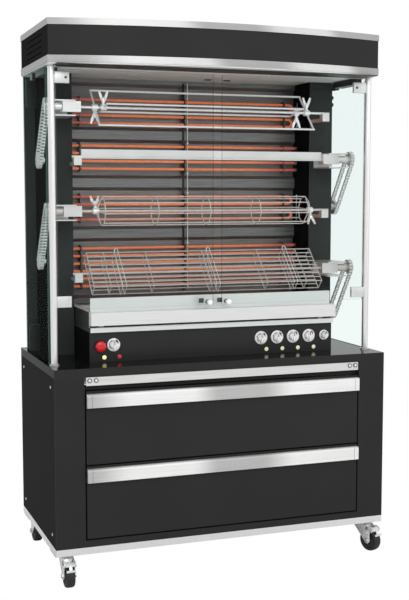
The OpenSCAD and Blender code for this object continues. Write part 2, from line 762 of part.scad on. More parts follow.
// A plate with rounded corners on one face of the glass, curved out to the post
module clamp_plate(z, s) {
    y0 = s < 0 ? post_y - glass_t / 2 - 3 : post_y + glass_t / 2;
    x_out = post_x - post_d / 2 + 4;
    x_in = x_out - clamp_w;
    r = 6;
    translate([0, y0 + 3, z]) rotate([90, 0, 0]) linear_extrude(height = 3) union() {
        translate([x_in + r, 0]) square([clamp_w - r, clamp_h]);
        translate([x_in, r]) square([clamp_w, clamp_h - 2 * r]);
        for (y = [r, clamp_h - r]) translate([x_in + r, y]) circle(r = r);
    }
}

module left_door_glass() mirror([1, 0, 0]) right_door_glass();
module left_door_post() mirror([1, 0, 0]) right_door_post();

// ---- Spit drives ----

function spit_z(i) = worktop_z + spit_zs[i];

// Turns a piece drawn for a right-hand drive to spit i's own side
module at_drive(i) translate([0, spit_y, spit_z(i)])
    scale_side(drive_sides[i]) children();
module scale_side(s) if (s > 0) children(); else mirror([1, 0, 0]) children();

// Two plates and a web on the wall's front, with the bearing block under the upper plate
module drive_bracket() {
    reach_y = wall_front - spit_y;
    open = bracket_gap / 2;
    low = -open - bearing_drop;
    difference() {
        union() {
            for (z = [low - bracket_t, open])
                slab(hub_in + 20, wall_out, -24, reach_y, z, z + bracket_t);
            slab(hub_in + 20, wall_out, reach_y - bracket_t, reach_y, low, open);
            slab(hub_in, hub_out + 17, -open, open, -open, open);
        }
        rod_x(hub_out, hub_out + 20, 0, 0, journal_d / 2 + fit);
        rod_x(hub_in - 1, hub_out + 1, 0, 0, hub_d / 2 + 1);
    }
}

// Block with a half-round groove for the idle end, on an arm from the wall
module idle_block() {
    reach_y = wall_front - spit_y;
    difference() {
        slab(-idle_in - idle_w, -idle_in, -12, 12, -idle_h, 0);
        rod_x(-idle_in - idle_w - 1, -idle_in + 1, 0, 0, shaft_d / 2 + fit);
    }
    slab(-cavity_half - 10, -cavity_half - 2, 12, reach_y, -idle_h, -idle_h + 12);
}

module spit_brackets() color("#c8c8c8") for (i = [0:3]) at_drive(i) {
    drive_bracket();
    idle_block();
}

// Tooth outline: roller seats, and flanks that lean back to narrow tips
module sprocket_outline() {
    tip_r = pitch_r + 3.2;
    seat_r = roller_d / 2 + 0.5;
    difference() {
        circle(r = tip_r, $fn = 96);
        for (k = [0:teeth - 1]) rotate(360 / teeth * (k + 0.5) + 180 / teeth) {
            translate([pitch_r, 0]) circle(r = seat_r, $fn = 24);
            polygon([[pitch_r, -seat_r], [tip_r + 1, -seat_r * 1.3],
                [tip_r + 1, seat_r * 1.3], [pitch_r, seat_r]]);
        }
    }
}

// A sprocket square to X, with a seat on the normal of the chain's strands
module sprocket(x) translate([x - sprocket_t / 2, 0, 0]) rotate([90, 0, 90])
    rotate(chain_turn + 90) linear_extrude(height = sprocket_t) sprocket_outline();

// Hub with the spit's socket, journal, collar and sprocket in one turned piece
module drive_hub() difference() {
    union() {
        rod_x(hub_in, hub_out, 0, 0, hub_d / 2);
        rod_x(hub_out, journal_out, 0, 0, journal_d / 2);
        rod_x(hub_out + 18, chain_x - sprocket_t / 2, 0, 0, hub_d / 2 - 1);
        sprocket(chain_x);
    }
    rod_x(hub_in - 1, hub_in + 34, 0, 0, shaft_d / 2 + fit);
}

// Shaft from the hub's socket to the idle block
module spit_shaft() rod_x(-idle_in - idle_w - 4, hub_in + 32, 0, 0, shaft_d / 2);

// Wing screw in a clamping collar, pointing along +Z
module wing_clamp(x) {
    rod_x(x - 9, x + 9, 0, 0, shaft_d / 2 + 6);
    rod_z(x, 0, 0, 34, 4);
    rod_z(x, 0, 18, 30, 7);
    for (s = [-1, 1]) translate([x + s * 5, 0, 26]) rotate([0, s * 18, 0])
        slab(-3.5, 3.5, -2, 2, 0, 30);
}

// A closed wire frame in a plane through the shaft
module wire_frame(x0, x1, half) {
    r = wire_d / 2;
    for (s = [-1, 1]) rod_x(x0 - r, x1 + r, 0, s * half, r, 12);
    for (x = [x0, x1]) rod_z(x, 0, -half, half, r, 12);
}

module turned(a) rotate([a, 0, 0]) children();

// Double frame: a wide frame and a narrow one crossing it, with their wing clamps
module spit_1() at_drive(0) {
    wide = [-cavity_half + frame_clearance + 10, cavity_half - frame_clearance];
    narrow = [wide[0] + frame_step + 10, wide[1] - frame_step];
    color("#dadada") drive_hub();
    color("#e0e0e0") union() {
        spit_shaft();
        turned(-45) wire_frame(wide[0], wide[1], wide_frame_h / 2);
        turned(80) wire_frame(narrow[0], narrow[1], narrow_frame_h / 2);
        turned(0) wing_clamp(wide[0]);
        turned(180) wing_clamp(narrow[0]);
        turned(180) wing_clamp(wide[1]);
        turned(0) wing_clamp(narrow[1]);
    }
}

// Blade: an angle bar with a point
module spit_2() at_drive(1) {
    color("#dadada") drive_hub();
    color("#e0e0e0") union() {
        spit_shaft();
        difference() {
            along_x(-cavity_half + 5, hub_in - 1) polygon([[-3, -6], [28, -6], [28, -3],
                [0, -3], [0, 25], [-3, 25]]);
            translate([-cavity_half + 5, -10, -6]) rotate([0, -42, 0])
                translate([-60, 0, 0]) cube([60, 50, 60]);
        }
    }
}

// Points of an octagon of radius r in the Y-Z plane
function octagon(r, a = 10) = [for (k = [0:7]) [0, r * cos(a + 45 * k), r * sin(a + 45 * k)]];

// Round cage: long wires, rings and tapered ends
module spit_3() at_drive(2) {
    cage_r = round_cage_d / 2;
    x0 = -cavity_half + frame_clearance + 2;
    x1 = cavity_half - frame_clearance - 8;
    rings = [for (i = [0:4]) x0 + 14 + (x1 - x0 - 28) / 4 * i];
    pts = octagon(cage_r);
    color("#dadada") drive_hub();
    color("#e0e0e0") union() {
        spit_shaft();
        for (p = pts) rod_x(rings[0], rings[4], p[1], p[2], cage_wire_d / 2, 8);
        for (x = rings, k = [0:7])
            wire([x, pts[k][1], pts[k][2]], [x, pts[(k + 1) % 8][1], pts[(k + 1) % 8][2]],
                cage_wire_d, 6);
        for (k = [0:2:7]) {
            wire([rings[0], pts[k][1], pts[k][2]], [x0 - 8, 0, 0], cage_wire_d, 6);
            wire([rings[4], pts[k][1], pts[k][2]], [x1 + 8, 0, 0], cage_wire_d, 6);
        }
        turned(160) wing_clamp(x0 - 8);
        turned(-20) wing_clamp(x1 + 8);
    }
}

// Flat cage: two grids of long wires, tilted, tied by a few cross wires and a rim
module spit_4() at_drive(3) {
    half = flat_cage_h / 2;
    half_t = flat_cage_t / 2;
    x1 = cavity_half - 29;
    ties = [-1, -0.86, -0.5, 0, 0.5, 0.86, 1] * x1;
    r = cage_wire_d / 2;
    color("#dadada") drive_hub();
    color("#e0e0e0") union() {
        spit_shaft();
        turned(-45) {
            for (s = [-1, 1]) {
                for (k = [-4:4]) rod_x(-x1, x1, s * half_t, k * half / 4, r, 6);
                for (x = ties) rod_z(x, s * half_t, -half, half, r, 6);
            }
            for (x = ties, s = [-1, 1]) rod_y(x, -half_t, half_t, s * half, r, 6);
            for (x = [-x1, x1]) rod_y(x, -half_t, half_t, 0, r + 2, 6);
        }
    }
}

module motor_sprocket(i) color("#d0d0d0") at_drive(i)
    translate([0, motor_back, -motor_drop]) {
        sprocket(chain_x);
        rod_x(wall_out + 3, chain_x - sprocket_t / 2, 0, 0, 13);
        rod_x(wall_out - sheet - 30, wall_out + 3, 0, 0, motor_shaft_d / 2);
    }
module motor_sprocket_1() motor_sprocket(0);
module motor_sprocket_2() motor_sprocket(1);
module motor_sprocket_3() motor_sprocket(2);
module motor_sprocket_4() motor_sprocket(3);

// Gear motors inside the walls: gearbox, bored for its shaft, and motor can
module gear_motors() color("#7c8084") for (i = [0:3]) at_drive(i)
    translate([0, motor_back, -motor_drop]) difference() {
        union() {
            slab(wall_out - sheet - 56, wall_out - sheet, -13, 62, -40, 40);
            rod_z(wall_out - sheet - 30, 32, 40, 150, 27);
        }
        rod_x(wall_out - sheet - 31, wall_out, 0, 0, motor_shaft_d / 2 + fit);
    }

// Joint i of the chain, in the plane of the sprockets, from the spit's axis
function loop_pt(i) =
    let (n = centre_pitches, w = teeth / 2, step = 360 / teeth)
    i <= n ? [i * chain_pitch, pitch_r]
    : i <= n + w ? [centre_dist + pitch_r * cos(90 - (i - n) * step),
        pitch_r * sin(90 - (i - n) * step)]
    : i <= 2 * n + w ? [centre_dist - (i - n - w) * chain_pitch, -pitch_r]
    : [pitch_r * cos(-90 - (i - 2 * n - w) * step),
        pitch_r * sin(-90 - (i - 2 * n - w) * step)];
links = 2 * centre_pitches + teeth;

module plate_outline(r) union() {
    for (u = [0, chain_pitch]) translate([u, 0]) circle(r = r, $fn = 16);
    translate([0, -r * 0.72]) square([chain_pitch, r * 1.44]);
}

module inner_link() difference() {
    union() {
        for (x = [-inner_plate - link_t, inner_plate]) translate([0, 0, x])
            linear_extrude(height = link_t) plate_outline(4.8);
        for (u = [0, chain_pitch]) translate([u, 0, -inner_plate])
            cylinder(h = 2 * inner_plate, d = roller_d, $fn = 24);
    }
    for (u = [0, chain_pitch]) translate([u, 0, -inner_plate - link_t - 1])
        cylinder(h = 2 * (inner_plate + link_t + 1), r = 2.2 + link_gap, $fn = 16);
}

module outer_link() {
    for (x = [-outer_plate - link_t, outer_plate]) translate([0, 0, x])
        linear_extrude(height = link_t) plate_outline(4.4);
    for (u = [0, chain_pitch]) translate([u, 0, -outer_plate - link_t - 0.8])
        cylinder(h = 2 * (outer_plate + link_t + 0.8), r = 2.2, $fn = 16);
}

module chain() translate([chain_x, 0, 0]) rotate([90, 0, 90]) rotate(chain_turn)
    for (i = [0:links - 1]) {
        a = loop_pt(i);
        b = loop_pt((i + 1) % links);
        translate([a[0], a[1], 0]) rotate(atan2(b[1] - a[1], b[0] - a[0]))
            if (i % 2 == 0) inner_link(); else outer_link();
    }

module drive_chains() color("#b0b0b0") for (i = [0:3]) at_drive(i) chain();

// ---- Casters ----

caster_places = [[-1, -1, 0], [1, -1, front_right_turn], [-1, 1, 180], [1, 1, 180]];

// Puts a caster drawn at the origin, trailing towards -Y, in its place
module at_caster(i) {
    p = caster_places[i];
    translate([p[0] * swivel_x, p[1] * swivel_y, 0]) rotate(p[2]) children();
}

// Fixed top plate, kingpin and the nut that holds the fork up
module caster_plates() color("#c0c2c4") for (i = [0:3]) {
    p = caster_places[i];
    translate([p[0] * swivel_x, p[1] * swivel_y, 0]) {
        slab(-45, 45, -44, 44, caster_h - 4, caster_h);
        rod_z(0, 0, crown_z - 8, caster_h - 4, 8);
        rod_z(0, 0, crown_z - 8, crown_z - slide_gap, 12);
    }
}

leg_gap = wheel_w / 2 + 1.5;
pedal_axis = [trail + 20, wheel_r + 41];

// Fork leg, drawn in the plane of the wheel: u is the distance along the trail
module leg_outline(with_ear) difference() {
    union() {
        polygon([[-24, crown_z + 2], [trail - 9, wheel_r - 4], [trail + 9, wheel_r - 4],
            [30, crown_z + 2]]);
        translate([trail, wheel_r]) circle(r = 10);
        if (with_ear) {
            translate(pedal_axis) circle(r = 7);
            polygon([[20, crown_z + 2], [pedal_axis[0] - 22, pedal_axis[1] - 14],
                [pedal_axis[0], pedal_axis[1] - 7], [pedal_axis[0], pedal_axis[1] + 7]]);
        }
    }
    if (with_ear) translate(pedal_axis) circle(r = 3 + fit);
}

module caster(i) at_caster(i) color("#c8cacc") {
    with_ear = i < 2;
    difference() {
        union() {
            rod_z(0, 0, crown_z, caster_h - 4 - slide_gap, 29);
            slab(-leg_gap - 3, leg_gap + 3, -30, 22, crown_z, crown_z + 3);
        }
        rod_z(0, 0, crown_z - 1, caster_h, 8 + fit);
    }
    for (s = [-1, 1]) translate([s > 0 ? leg_gap : -leg_gap - 3, 0, 0])
        rotate([90, 0, 90]) mirror([1, 0, 0])
            linear_extrude(height = 3) leg_outline(with_ear);
    rod_x(-leg_gap - 7, leg_gap + 7, -trail, wheel_r, 5);
    for (x = [-leg_gap - 7, leg_gap + 3]) rod_x(x, x + 4, -trail, wheel_r, 8, 6);
}

// Rubber tyre on a hub, bored for the axle
module wheel(i) at_caster(i) translate([0, -trail, wheel_r]) rotate([0, 90, 0])
    color("#1c1c1c") rotate_extrude($fn = 72) polygon([
        [5 + fit, -leg_gap + 0.3], [11, -leg_gap + 0.3], [13, -wheel_w / 2 + 5],
        [wheel_r - 12, -wheel_w / 2 + 5], [wheel_r - 10, -wheel_w / 2],
        [wheel_r - 4, -wheel_w / 2], [wheel_r - 1, -wheel_w / 2 + 4],
        [wheel_r, -wheel_w / 2 + 9], [wheel_r, wheel_w / 2 - 9],
        [wheel_r - 1, wheel_w / 2 - 4], [wheel_r - 4, wheel_w / 2],
        [wheel_r - 10, wheel_w / 2], [wheel_r - 12, wheel_w / 2 - 5],
        [13, wheel_w / 2 - 5], [11, leg_gap - 0.3], [5 + fit, leg_gap - 0.3]]);

module caster_front_left() caster(0);
module caster_front_right() caster(1);
module caster_rear_left() caster(2);
module caster_rear_right() caster(3);
module wheel_front_left() wheel(0);
module wheel_front_right() wheel(1);
module wheel_rear_left() wheel(2);
module wheel_rear_right() wheel(3);

// Brake lever: a barrel between the fork's ears, its pin, and the bent tread plate
module brake_pedal(i) at_caster(i) translate([0, -pedal_axis[0], pedal_axis[1]])
    color("#d4d6d8") {
        rod_x(-leg_gap + 0.5, leg_gap - 0.5, 0, 0, 4.2, 24);
        rod_x(-leg_gap - 3.5, leg_gap + 3.5, 0, 0, 3);
        along_x(-leg_gap + 0.5, leg_gap - 0.5) polygon([[-3.5, 2.5], [-19, -13.5],
            [-19.5, -19], [-17, -19.5], [-16.6, -14.6], [-2, 0.5]]);
    }
module brake_pedal_left() brake_pedal(0);
module brake_pedal_right() brake_pedal(1);

bottom_frame();
left_side_panel();
right_side_panel();
cabinet_back();
cabinet_floor();
front_frame();
worktop();
drawer_runners();
caster_plates();
control_box();
tray_housing();
motor_walls();
rear_panel();
reflectors();
heating_elements();
element_supports();
ceiling_panel();
hood_shell();
hood_trims();
side_glass();
glass_fittings();
indicator_lamps();
spit_brackets();
gear_motors();
drive_chains();
left_door_glass();
left_door_post();
right_door_glass();
right_door_post();
drip_tray();
pull_out_shelf();
upper_drawer();
upper_drawer_grip();
lower_drawer();
lower_drawer_grip();
spit_1();
spit_2();
spit_3();
spit_4();
motor_sprocket_1();
motor_sprocket_2();
motor_sprocket_3();
motor_sprocket_4();
dial_1();
dial_2();
dial_3();
dial_4();
dial_5();
selector_knob();
stop_button();
caster_front_left();
caster_front_right();
caster_rear_left();
caster_rear_right();
wheel_front_left();
wheel_front_right();
wheel_rear_left();
wheel_rear_right();
brake_pedal_left();
brake_pedal_right();
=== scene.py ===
# Looks for the electric skewer grill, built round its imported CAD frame.
# Metres, +Z up, front towards -Y. Every piece rides on a CAD body.
import math
import bpy
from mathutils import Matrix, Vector


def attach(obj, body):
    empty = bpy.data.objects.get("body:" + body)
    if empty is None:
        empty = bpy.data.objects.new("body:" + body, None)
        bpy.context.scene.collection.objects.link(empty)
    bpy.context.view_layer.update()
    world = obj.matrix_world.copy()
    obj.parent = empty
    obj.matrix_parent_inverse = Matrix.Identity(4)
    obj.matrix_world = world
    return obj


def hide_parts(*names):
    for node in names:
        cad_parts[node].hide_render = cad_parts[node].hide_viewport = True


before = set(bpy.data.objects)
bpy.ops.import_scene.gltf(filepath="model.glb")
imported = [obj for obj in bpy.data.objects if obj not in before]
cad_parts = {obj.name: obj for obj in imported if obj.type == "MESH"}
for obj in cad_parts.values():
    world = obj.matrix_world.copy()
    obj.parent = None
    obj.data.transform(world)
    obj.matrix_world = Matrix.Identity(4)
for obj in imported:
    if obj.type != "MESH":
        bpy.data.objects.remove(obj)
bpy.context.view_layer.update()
scene = bpy.context.scene
scene.view_settings.view_transform = "Standard"
print("frame loaded:", len(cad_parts), "nodes")


def srgb(code, alpha=1.0):
    # sRGB hex to the linear colour that Blender's sockets take
    parts = [int(code[i:i + 2], 16) / 255 for i in (1, 3, 5)]
    return tuple(c / 12.92 if c <= 0.04045 else ((c + 0.055) / 1.055) ** 2.4 for c in parts) + (alpha,)


def addNode(tree, kind, settings=None, links=None):
    # settings and links use a socket's name or number, or a property's name
    node = tree.nodes.new(kind)
    for key, value in (settings or {}).items():
        if isinstance(key, str) and hasattr(node, key):
            setattr(node, key, value)
        else:
            node.inputs[key].default_value = value
    for key, source in (links or {}).items():
        tree.links.new(source, node.inputs[key])
    return node


def startMaterial(name):
    material = bpy.data.materials.new(name)
    material.use_nodes = True
    shader = material.node_tree.nodes["Principled BSDF"]
    return material, material.node_tree, shader


def setShader(shader, **values):
    for key, value in values.items():
        shader.inputs[key.replace("_", " ")].default_value = value


def stretchedNoise(tree, perMetre, detail=4, roughness=0.55):
    # noise on Object coordinates, with its own frequency along X, Y and Z
    place = addNode(tree, "ShaderNodeTexCoord")
    scaled = addNode(tree, "ShaderNodeMapping", {"Scale": perMetre}, {"Vector": place.outputs["Object"]})
    return addNode(tree, "ShaderNodeTexNoise",
                   {"Scale": 1.0, "Detail": detail, "Roughness": roughness},
                   {"Vector": scaled.outputs[0]})


def ramp(tree, source, stops, mode="LINEAR"):
    # stops are (position, colour), at least two
    node = addNode(tree, "ShaderNodeValToRGB", None, {"Fac": source})
    node.color_ramp.interpolation = mode
    while len(node.color_ramp.elements) < len(stops):
        node.color_ramp.elements.new(0.5)
    for element, (place, colour) in zip(node.color_ramp.elements, stops):
        element.position = place
        element.color = colour
    return node


def addBump(tree, shader, height, distance, strength=1.0):
    bump = addNode(tree, "ShaderNodeBump", {"Strength": strength, "Distance": distance}, {"Height": height})
    tree.links.new(bump.outputs[0], shader.inputs["Normal"])


def coordinate(tree, kind, axis):
    # one coordinate of the place on the object (Object) or of the face's direction (Normal)
    place = addNode(tree, "ShaderNodeTexCoord")
    parts = addNode(tree, "ShaderNodeSeparateXYZ", None, {0: place.outputs[kind]})
    return parts.outputs["XYZ".index(axis)]


# a face counts as square to an axis from this much of its normal
squareOn = 0.7


def compared(tree, value, operation, limit):
    # 1 where the value passes the limit, 0 elsewhere
    return addNode(tree, "ShaderNodeMath", {"operation": operation, 1: limit}, {0: value}).outputs[0]


def facesAlong(tree, axis):
    # 1 on faces square to one axis, 0 on the others
    size = addNode(tree, "ShaderNodeMath", {"operation": "ABSOLUTE"}, {0: coordinate(tree, "Normal", axis)})
    return compared(tree, size.outputs[0], "GREATER_THAN", squareOn)


def mixedTone(tree, share, first, second, blend="MIX"):
    # first where share is 0, second where it is 1
    mixed = addNode(tree, "ShaderNodeMix", {"data_type": "RGBA", "blend_type": blend}, {0: share, 6: first})
    if isinstance(second, tuple):
        mixed.inputs[7].default_value = second
    else:
        tree.links.new(second, mixed.inputs[7])
    return mixed.outputs[2]


def powderCoat(name, colour, roughness=0.42, specular=0.25, shadedCheeks=None, topGloss=0.0, front=None):
    # coated sheet: a fine orange peel, drawn at about 1 mm to show, over a slow cloud;
    # the cheeks tone is painted shade on the faces along X, the front tone painted light on the faces along Y,
    # topGloss gives the flat ones a sheen
    material, tree, shader = startMaterial(name)
    peel = stretchedNoise(tree, (900, 900, 900), 2)
    cloud = stretchedNoise(tree, (3, 3, 3), 2)
    tone = ramp(tree, cloud.outputs[0], [(0.35, srgb(colour[0])), (0.65, srgb(colour[1]))]).outputs[0]
    # painted shade: the faces along X take the darker cheeks tone
    if shadedCheeks:
        side = facesAlong(tree, "X")
        tone = mixedTone(tree, side, tone, srgb(shadedCheeks))
        level = addNode(tree, "ShaderNodeMath", {"operation": "MULTIPLY_ADD", 1: -specular, 2: specular}, {0: side})
        tree.links.new(level.outputs[0], shader.inputs["Specular IOR Level"])
    # painted light: the faces along Y take the lighter front tone
    if front:
        tone = mixedTone(tree, facesAlong(tree, "Y"), tone, srgb(front))
    if topGloss:
        level = addNode(tree, "ShaderNodeMath", {"operation": "MULTIPLY_ADD", 1: topGloss - specular, 2: specular},
                        {0: facesAlong(tree, "Z")})
        tree.links.new(level.outputs[0], shader.inputs["Specular IOR Level"])
    tree.links.new(tone, shader.inputs["Base Color"])
    rough = addNode(tree, "ShaderNodeMapRange", {"To Min": roughness - 0.05, "To Max": roughness + 0.07},
                    {"Value": peel.outputs[0]})
    tree.links.new(rough.outputs[0], shader.inputs["Roughness"])
    setShader(shader, Specular_IOR_Level=specular)
    addBump(tree, shader, peel.outputs[0], 0.0001, 0.35)
    return material


def brushedSteel(name, along, light="#e8e8e6", dark="#d2d2d0", roughness=0.3, paintedReflections=None, metallic=0.75, shadedCheeks=None,
                 paintedUnderShade=None, rearTone=None):
    # stainless sheet, ground along one axis: streaks drawn 2 mm wide and 150 mm long,
    # coarser than real grinding, which wouldn't show
    material, tree, shader = startMaterial(name)
    scale = [500.0, 500.0, 500.0]
    scale["XYZ".index(along)] = 6.0
    streak = stretchedNoise(tree, tuple(scale), 3)
    tone = ramp(tree, streak.outputs[0], [(0.3, srgb(dark)), (0.7, srgb(light))])
    colour = tone.outputs[0]
    if paintedReflections:
        # broad soft bands over the sheet's length, slanted by height: a painted reflection of the room in its gloss
        slanted = addNode(tree, "ShaderNodeMath", {"operation": "MULTIPLY_ADD", 1: paintedReflections["slant"]},
                          {0: coordinate(tree, "Object", "Z"), 2: coordinate(tree, "Object", "X")})
        reflectionPlace = addNode(tree, "ShaderNodeMapRange", {"From Min": paintedReflections["from"], "From Max": paintedReflections["to"]},
                            {"Value": slanted.outputs[0]})
        reflectionTone = ramp(tree, reflectionPlace.outputs[0], [(spot, srgb(tint)) for spot, tint in paintedReflections["stops"]], "EASE")
        colour = addNode(tree, "ShaderNodeMix", {"data_type": "RGBA", "blend_type": "MULTIPLY", 0: 1.0},
                         {6: colour, 7: reflectionTone.outputs[0]}).outputs[2]
    # painted reflection: the faces along X take the darker cheeks tone, for the dark walls they mirror
    if shadedCheeks:
        colour = mixedTone(tree, facesAlong(tree, "X"), colour, srgb(shadedCheeks))
    if rearTone:
        # pieces behind the middle of the tower take a dark tone
        behind = compared(tree, coordinate(tree, "Object", "Y"), "GREATER_THAN", 0.05)
        colour = mixedTone(tree, behind, colour, srgb(rearTone))
    # painted shade: faces turned down take the dark under tone
    if paintedUnderShade:
        down = compared(tree, coordinate(tree, "Normal", "Z"), "LESS_THAN", -squareOn)
        colour = mixedTone(tree, down, colour, srgb(paintedUnderShade))
    tree.links.new(colour, shader.inputs["Base Color"])
    rough = addNode(tree, "ShaderNodeMapRange", {"To Min": roughness - 0.06, "To Max": roughness + 0.08},
                    {"Value": streak.outputs[0]})
    tree.links.new(rough.outputs[0], shader.inputs["Roughness"])
    setShader(shader, Metallic=metallic)
    addBump(tree, shader, streak.outputs[0], 0.00004, 0.25)
    return material


def satinMetal(name, light, dark, roughness=0.35, metallic=1.0, grain=250, glow=0.0):
    # cast, drawn or plated metal with a mottled satin surface
    material, tree, shader = startMaterial(name)
    mottle = stretchedNoise(tree, (grain,) * 3, 3)
    tone = ramp(tree, mottle.outputs[0], [(0.3, srgb(dark)), (0.7, srgb(light))])
    tree.links.new(tone.outputs[0], shader.inputs["Base Color"])
    rough = addNode(tree, "ShaderNodeMapRange", {"To Min": roughness - 0.08, "To Max": roughness + 0.08},
                    {"Value": mottle.outputs[0]})
    tree.links.new(rough.outputs[0], shader.inputs["Roughness"])
    setShader(shader, Metallic=metallic)
    if glow:
        tree.links.new(tone.outputs[0], shader.inputs["Emission Color"])
        setShader(shader, Emission_Strength=glow)
    addBump(tree, shader, mottle.outputs[0], 0.00008, 0.3)
    return material


def paneGlass(name, tint, edge, faceAxis, sheen, slope=0.4):
    # toughened float glass: clear through its faces, green only in its cut edges,
    # with a gloss that grows at a slant
    material, tree, shader = startMaterial(name)
    size = addNode(tree, "ShaderNodeMath", {"operation": "ABSOLUTE"}, {0: coordinate(tree, "Normal", faceAxis)})
    cut = compared(tree, size.outputs[0], "LESS_THAN", 0.5)
    view = addNode(tree, "ShaderNodeLayerWeight", {"Blend": 0.5})
    slant = addNode(tree, "ShaderNodeMath", {"operation": "POWER", 1: 4.0}, {0: view.outputs["Facing"]})
    gloss = addNode(tree, "ShaderNodeMath", {"operation": "MULTIPLY_ADD", 1: slope, 2: sheen}, {0: slant.outputs[0]})
    share = addNode(tree, "ShaderNodeMath", {"operation": "MULTIPLY_ADD", 1: 0.5, "use_clamp": True},
                    {0: cut, 2: gloss.outputs[0]})
    tone = ramp(tree, cut, [(0.4, srgb("#050505")), (0.6, srgb(edge))])
    tree.links.new(tone.outputs[0], shader.inputs["Base Color"])
    clear = addNode(tree, "ShaderNodeBsdfTransparent", {0: srgb(tint)})
    setShader(shader, Roughness=0.04, IOR=1.5)
    both = addNode(tree, "ShaderNodeMixShader", None,
                   {0: share.outputs[0], 1: clear.outputs[0], 2: shader.outputs[0]})
    tree.links.new(both.outputs[0], tree.nodes["Material Output"].inputs["Surface"])
    return material


# painted reflections of the room's light, in soft bands: slant is metres along X for one up, from and to bound the
# ramp
shade, shine = "#b0b0b0", "#e0e0e0"
trimPaintedReflections = {"slant": 0.75, "from": 0.8, "to": 1.99,
             "stops": [(0.0, shade), (0.15, shine), (0.34, shine), (0.42, shade), (0.56, shade), (0.66, shine),
                       (0.79, shine), (0.85, shade)]}
gripPaintedReflections = {"slant": 0.0, "from": -0.49, "to": 0.49,
             "stops": [(0.0, "#bcbcbc"), (0.16, "#f4f4f4"), (0.36, "#f4f4f4"), (0.47, "#bcbcbc"), (0.62, "#bcbcbc"),
                       (0.76, "#f4f4f4"), (0.94, "#f0f0f0")]}
# drawers and frame: matt charcoal with a dull sheen
blackSheet = powderCoat("powderCoatBlack", ("#262626", "#232323"), 0.5, 0.2)
# side sheets: the same coat, flatter, and a little deeper as painted shade
blackSideShaded = powderCoat("powderCoatBlackPaintedShade", ("#212121", "#1e1e1e"), 0.7, 0.03)
# hood: lighter charcoal in front, cheeks deepened by painted shade
hoodBlack = powderCoat("powderCoatHood", ("#323232", "#2e2e2e"), 0.6, 0.08, "#272727")
# worktop: gloss enamel that mirrors the lamps, with painted shade on its cheeks and a painted light tone on its front
# lip
blackGloss = powderCoat("glossEnamelBlack", ("#181818", "#141414"), 0.14, 0.01, "#060606", 0.12, "#323232")
# control box: smooth satin black, its cheeks darkened by painted shade
panelBlack = powderCoat("panelEnamelBlack", ("#262626", "#212121"), 0.3, 0.3, "#141414")
# walls beside and behind the cavity: dark grey satin, with painted shade turning the cheeks black
darkWall = powderCoat("satinEnamelDarkGrey", ("#3a3d3c", "#343736"), 0.6, 0.06, "#121414")
# shelf and brackets: plain steel, brushed along X
steelAlong = brushedSteel("brushedStainlessAlongX", "X")
# drawer grips: pale steel with two broad bright bands of painted reflection
steelWithPaintedReflections = brushedSteel("brushedStainlessPaintedReflections", "X", "#ffffff", "#f2f2f0", 0.42, gripPaintedReflections, 0.3)
# hood bands: pale steel with slanted soft bands of painted reflection, and painted shade on the faces underneath
trimSteel = brushedSteel("trimStainlessPaintedLight", "X", "#f4f4f2", "#e8e8e6", 0.42, trimPaintedReflections, 0.3, paintedUnderShade="#1c1c1c")
# grip ends: steel brushed upright
steelUpright = brushedSteel("brushedStainlessUpright", "Z")
# glass fittings: bright in front, a dark tone behind
fittingSteel = brushedSteel("fittingStainless", "Z", rearTone="#3a403e")
# bottom frame: light steel brushed along Y
steelDepth = brushedSteel("brushedStainlessAlongY", "Y", "#f0f0ee", "#dededc")
# tray housing: pale satin, its end returns darkened by a painted reflection of the dark walls
sillSteel = brushedSteel("sillStainlessPaintedReflection", "X", "#e6eae8", "#dadfdc", 0.4, metallic=0.4, shadedCheeks="#2e3332")
# drip tray: even pale satin
traySteel = brushedSteel("trayStainless", "X", "#e8e8e8", "#dadada", 0.38, metallic=0.4)
# reflectors: mid grey that takes the rods' orange
reflectorSheet = brushedSteel("reflectorStainless", "X", "#929392", "#6a6b6a", 0.42)
# ceiling: nearly white and matt
ceilingSheet = brushedSteel("ceilingStainless", "X", "#e4eae8", "#cfd6d3", 0.5, metallic=0.1)
# spit frame and fittings: polished drawn wire, almost white
wireSteel = satinMetal("drawnStainlessWire", "#fcfcfc", "#f2f2f0", 0.32, 0.5, 60)
# spit blade: even pale steel
bladeSteel = satinMetal("spitBladeSteel", "#e0e0de", "#dadad8", 0.34, 0.4, 12)
# cages: warm grey wire that has seen heat
gridSteel = satinMetal("cageWireSteel", "#d8d2ce", "#c4bebb", 0.36, 0.4, 60)
# chains and sprockets: bright links
chainSteel = satinMetal("chainSteel", "#eeeeec", "#c8c8c6", 0.34, 0.6)
# runners, screws and casters: cool grey zinc
zincPlate = satinMetal("zincPlatedSteel", "#d8dadb", "#b0b2b4", 0.34)
# rod combs and glands: warm, heat-stained grey
combSteel = satinMetal("combSteel", "#8a8882", "#6c6a66", 0.45)
# gear motors: grey enamel
motorPaint = satinMetal("motorGreyPaint", "#565b60", "#4a4f54", 0.5, 0.0)
# dials and knobs: matt silver plastic
knobSilver = satinMetal("knobSilver", "#ffffff", "#f6f6f4", 0.34, 0.1)
# wheels: matt black rubber
tyreRubber = satinMetal("tyreRubber", "#242424", "#181818", 0.62, 0.0, 400)
# mushroom head: glossy red plastic
stopRed = satinMetal("stopRedPlastic", "#e0262e", "#d01e26", 0.16, 0.0, 60)
# doors: almost clear, grey-green at the cut edge
doorGlass = paneGlass("floatGlassDoor", "#fdfefe", "#5c7a70", "Y", 0.015)
# side panes: a faint green, with less gloss
sideGlassLook = paneGlass("floatGlassSide", "#f9fdfc", "#416b5c", "X", 0.004, 0.02)
# mouldings and printed marks: black plastic
blackPlastic = satinMetal("mouldedBlackPlastic", "#1c1c1c", "#141414", 0.4, 0.0, 120)
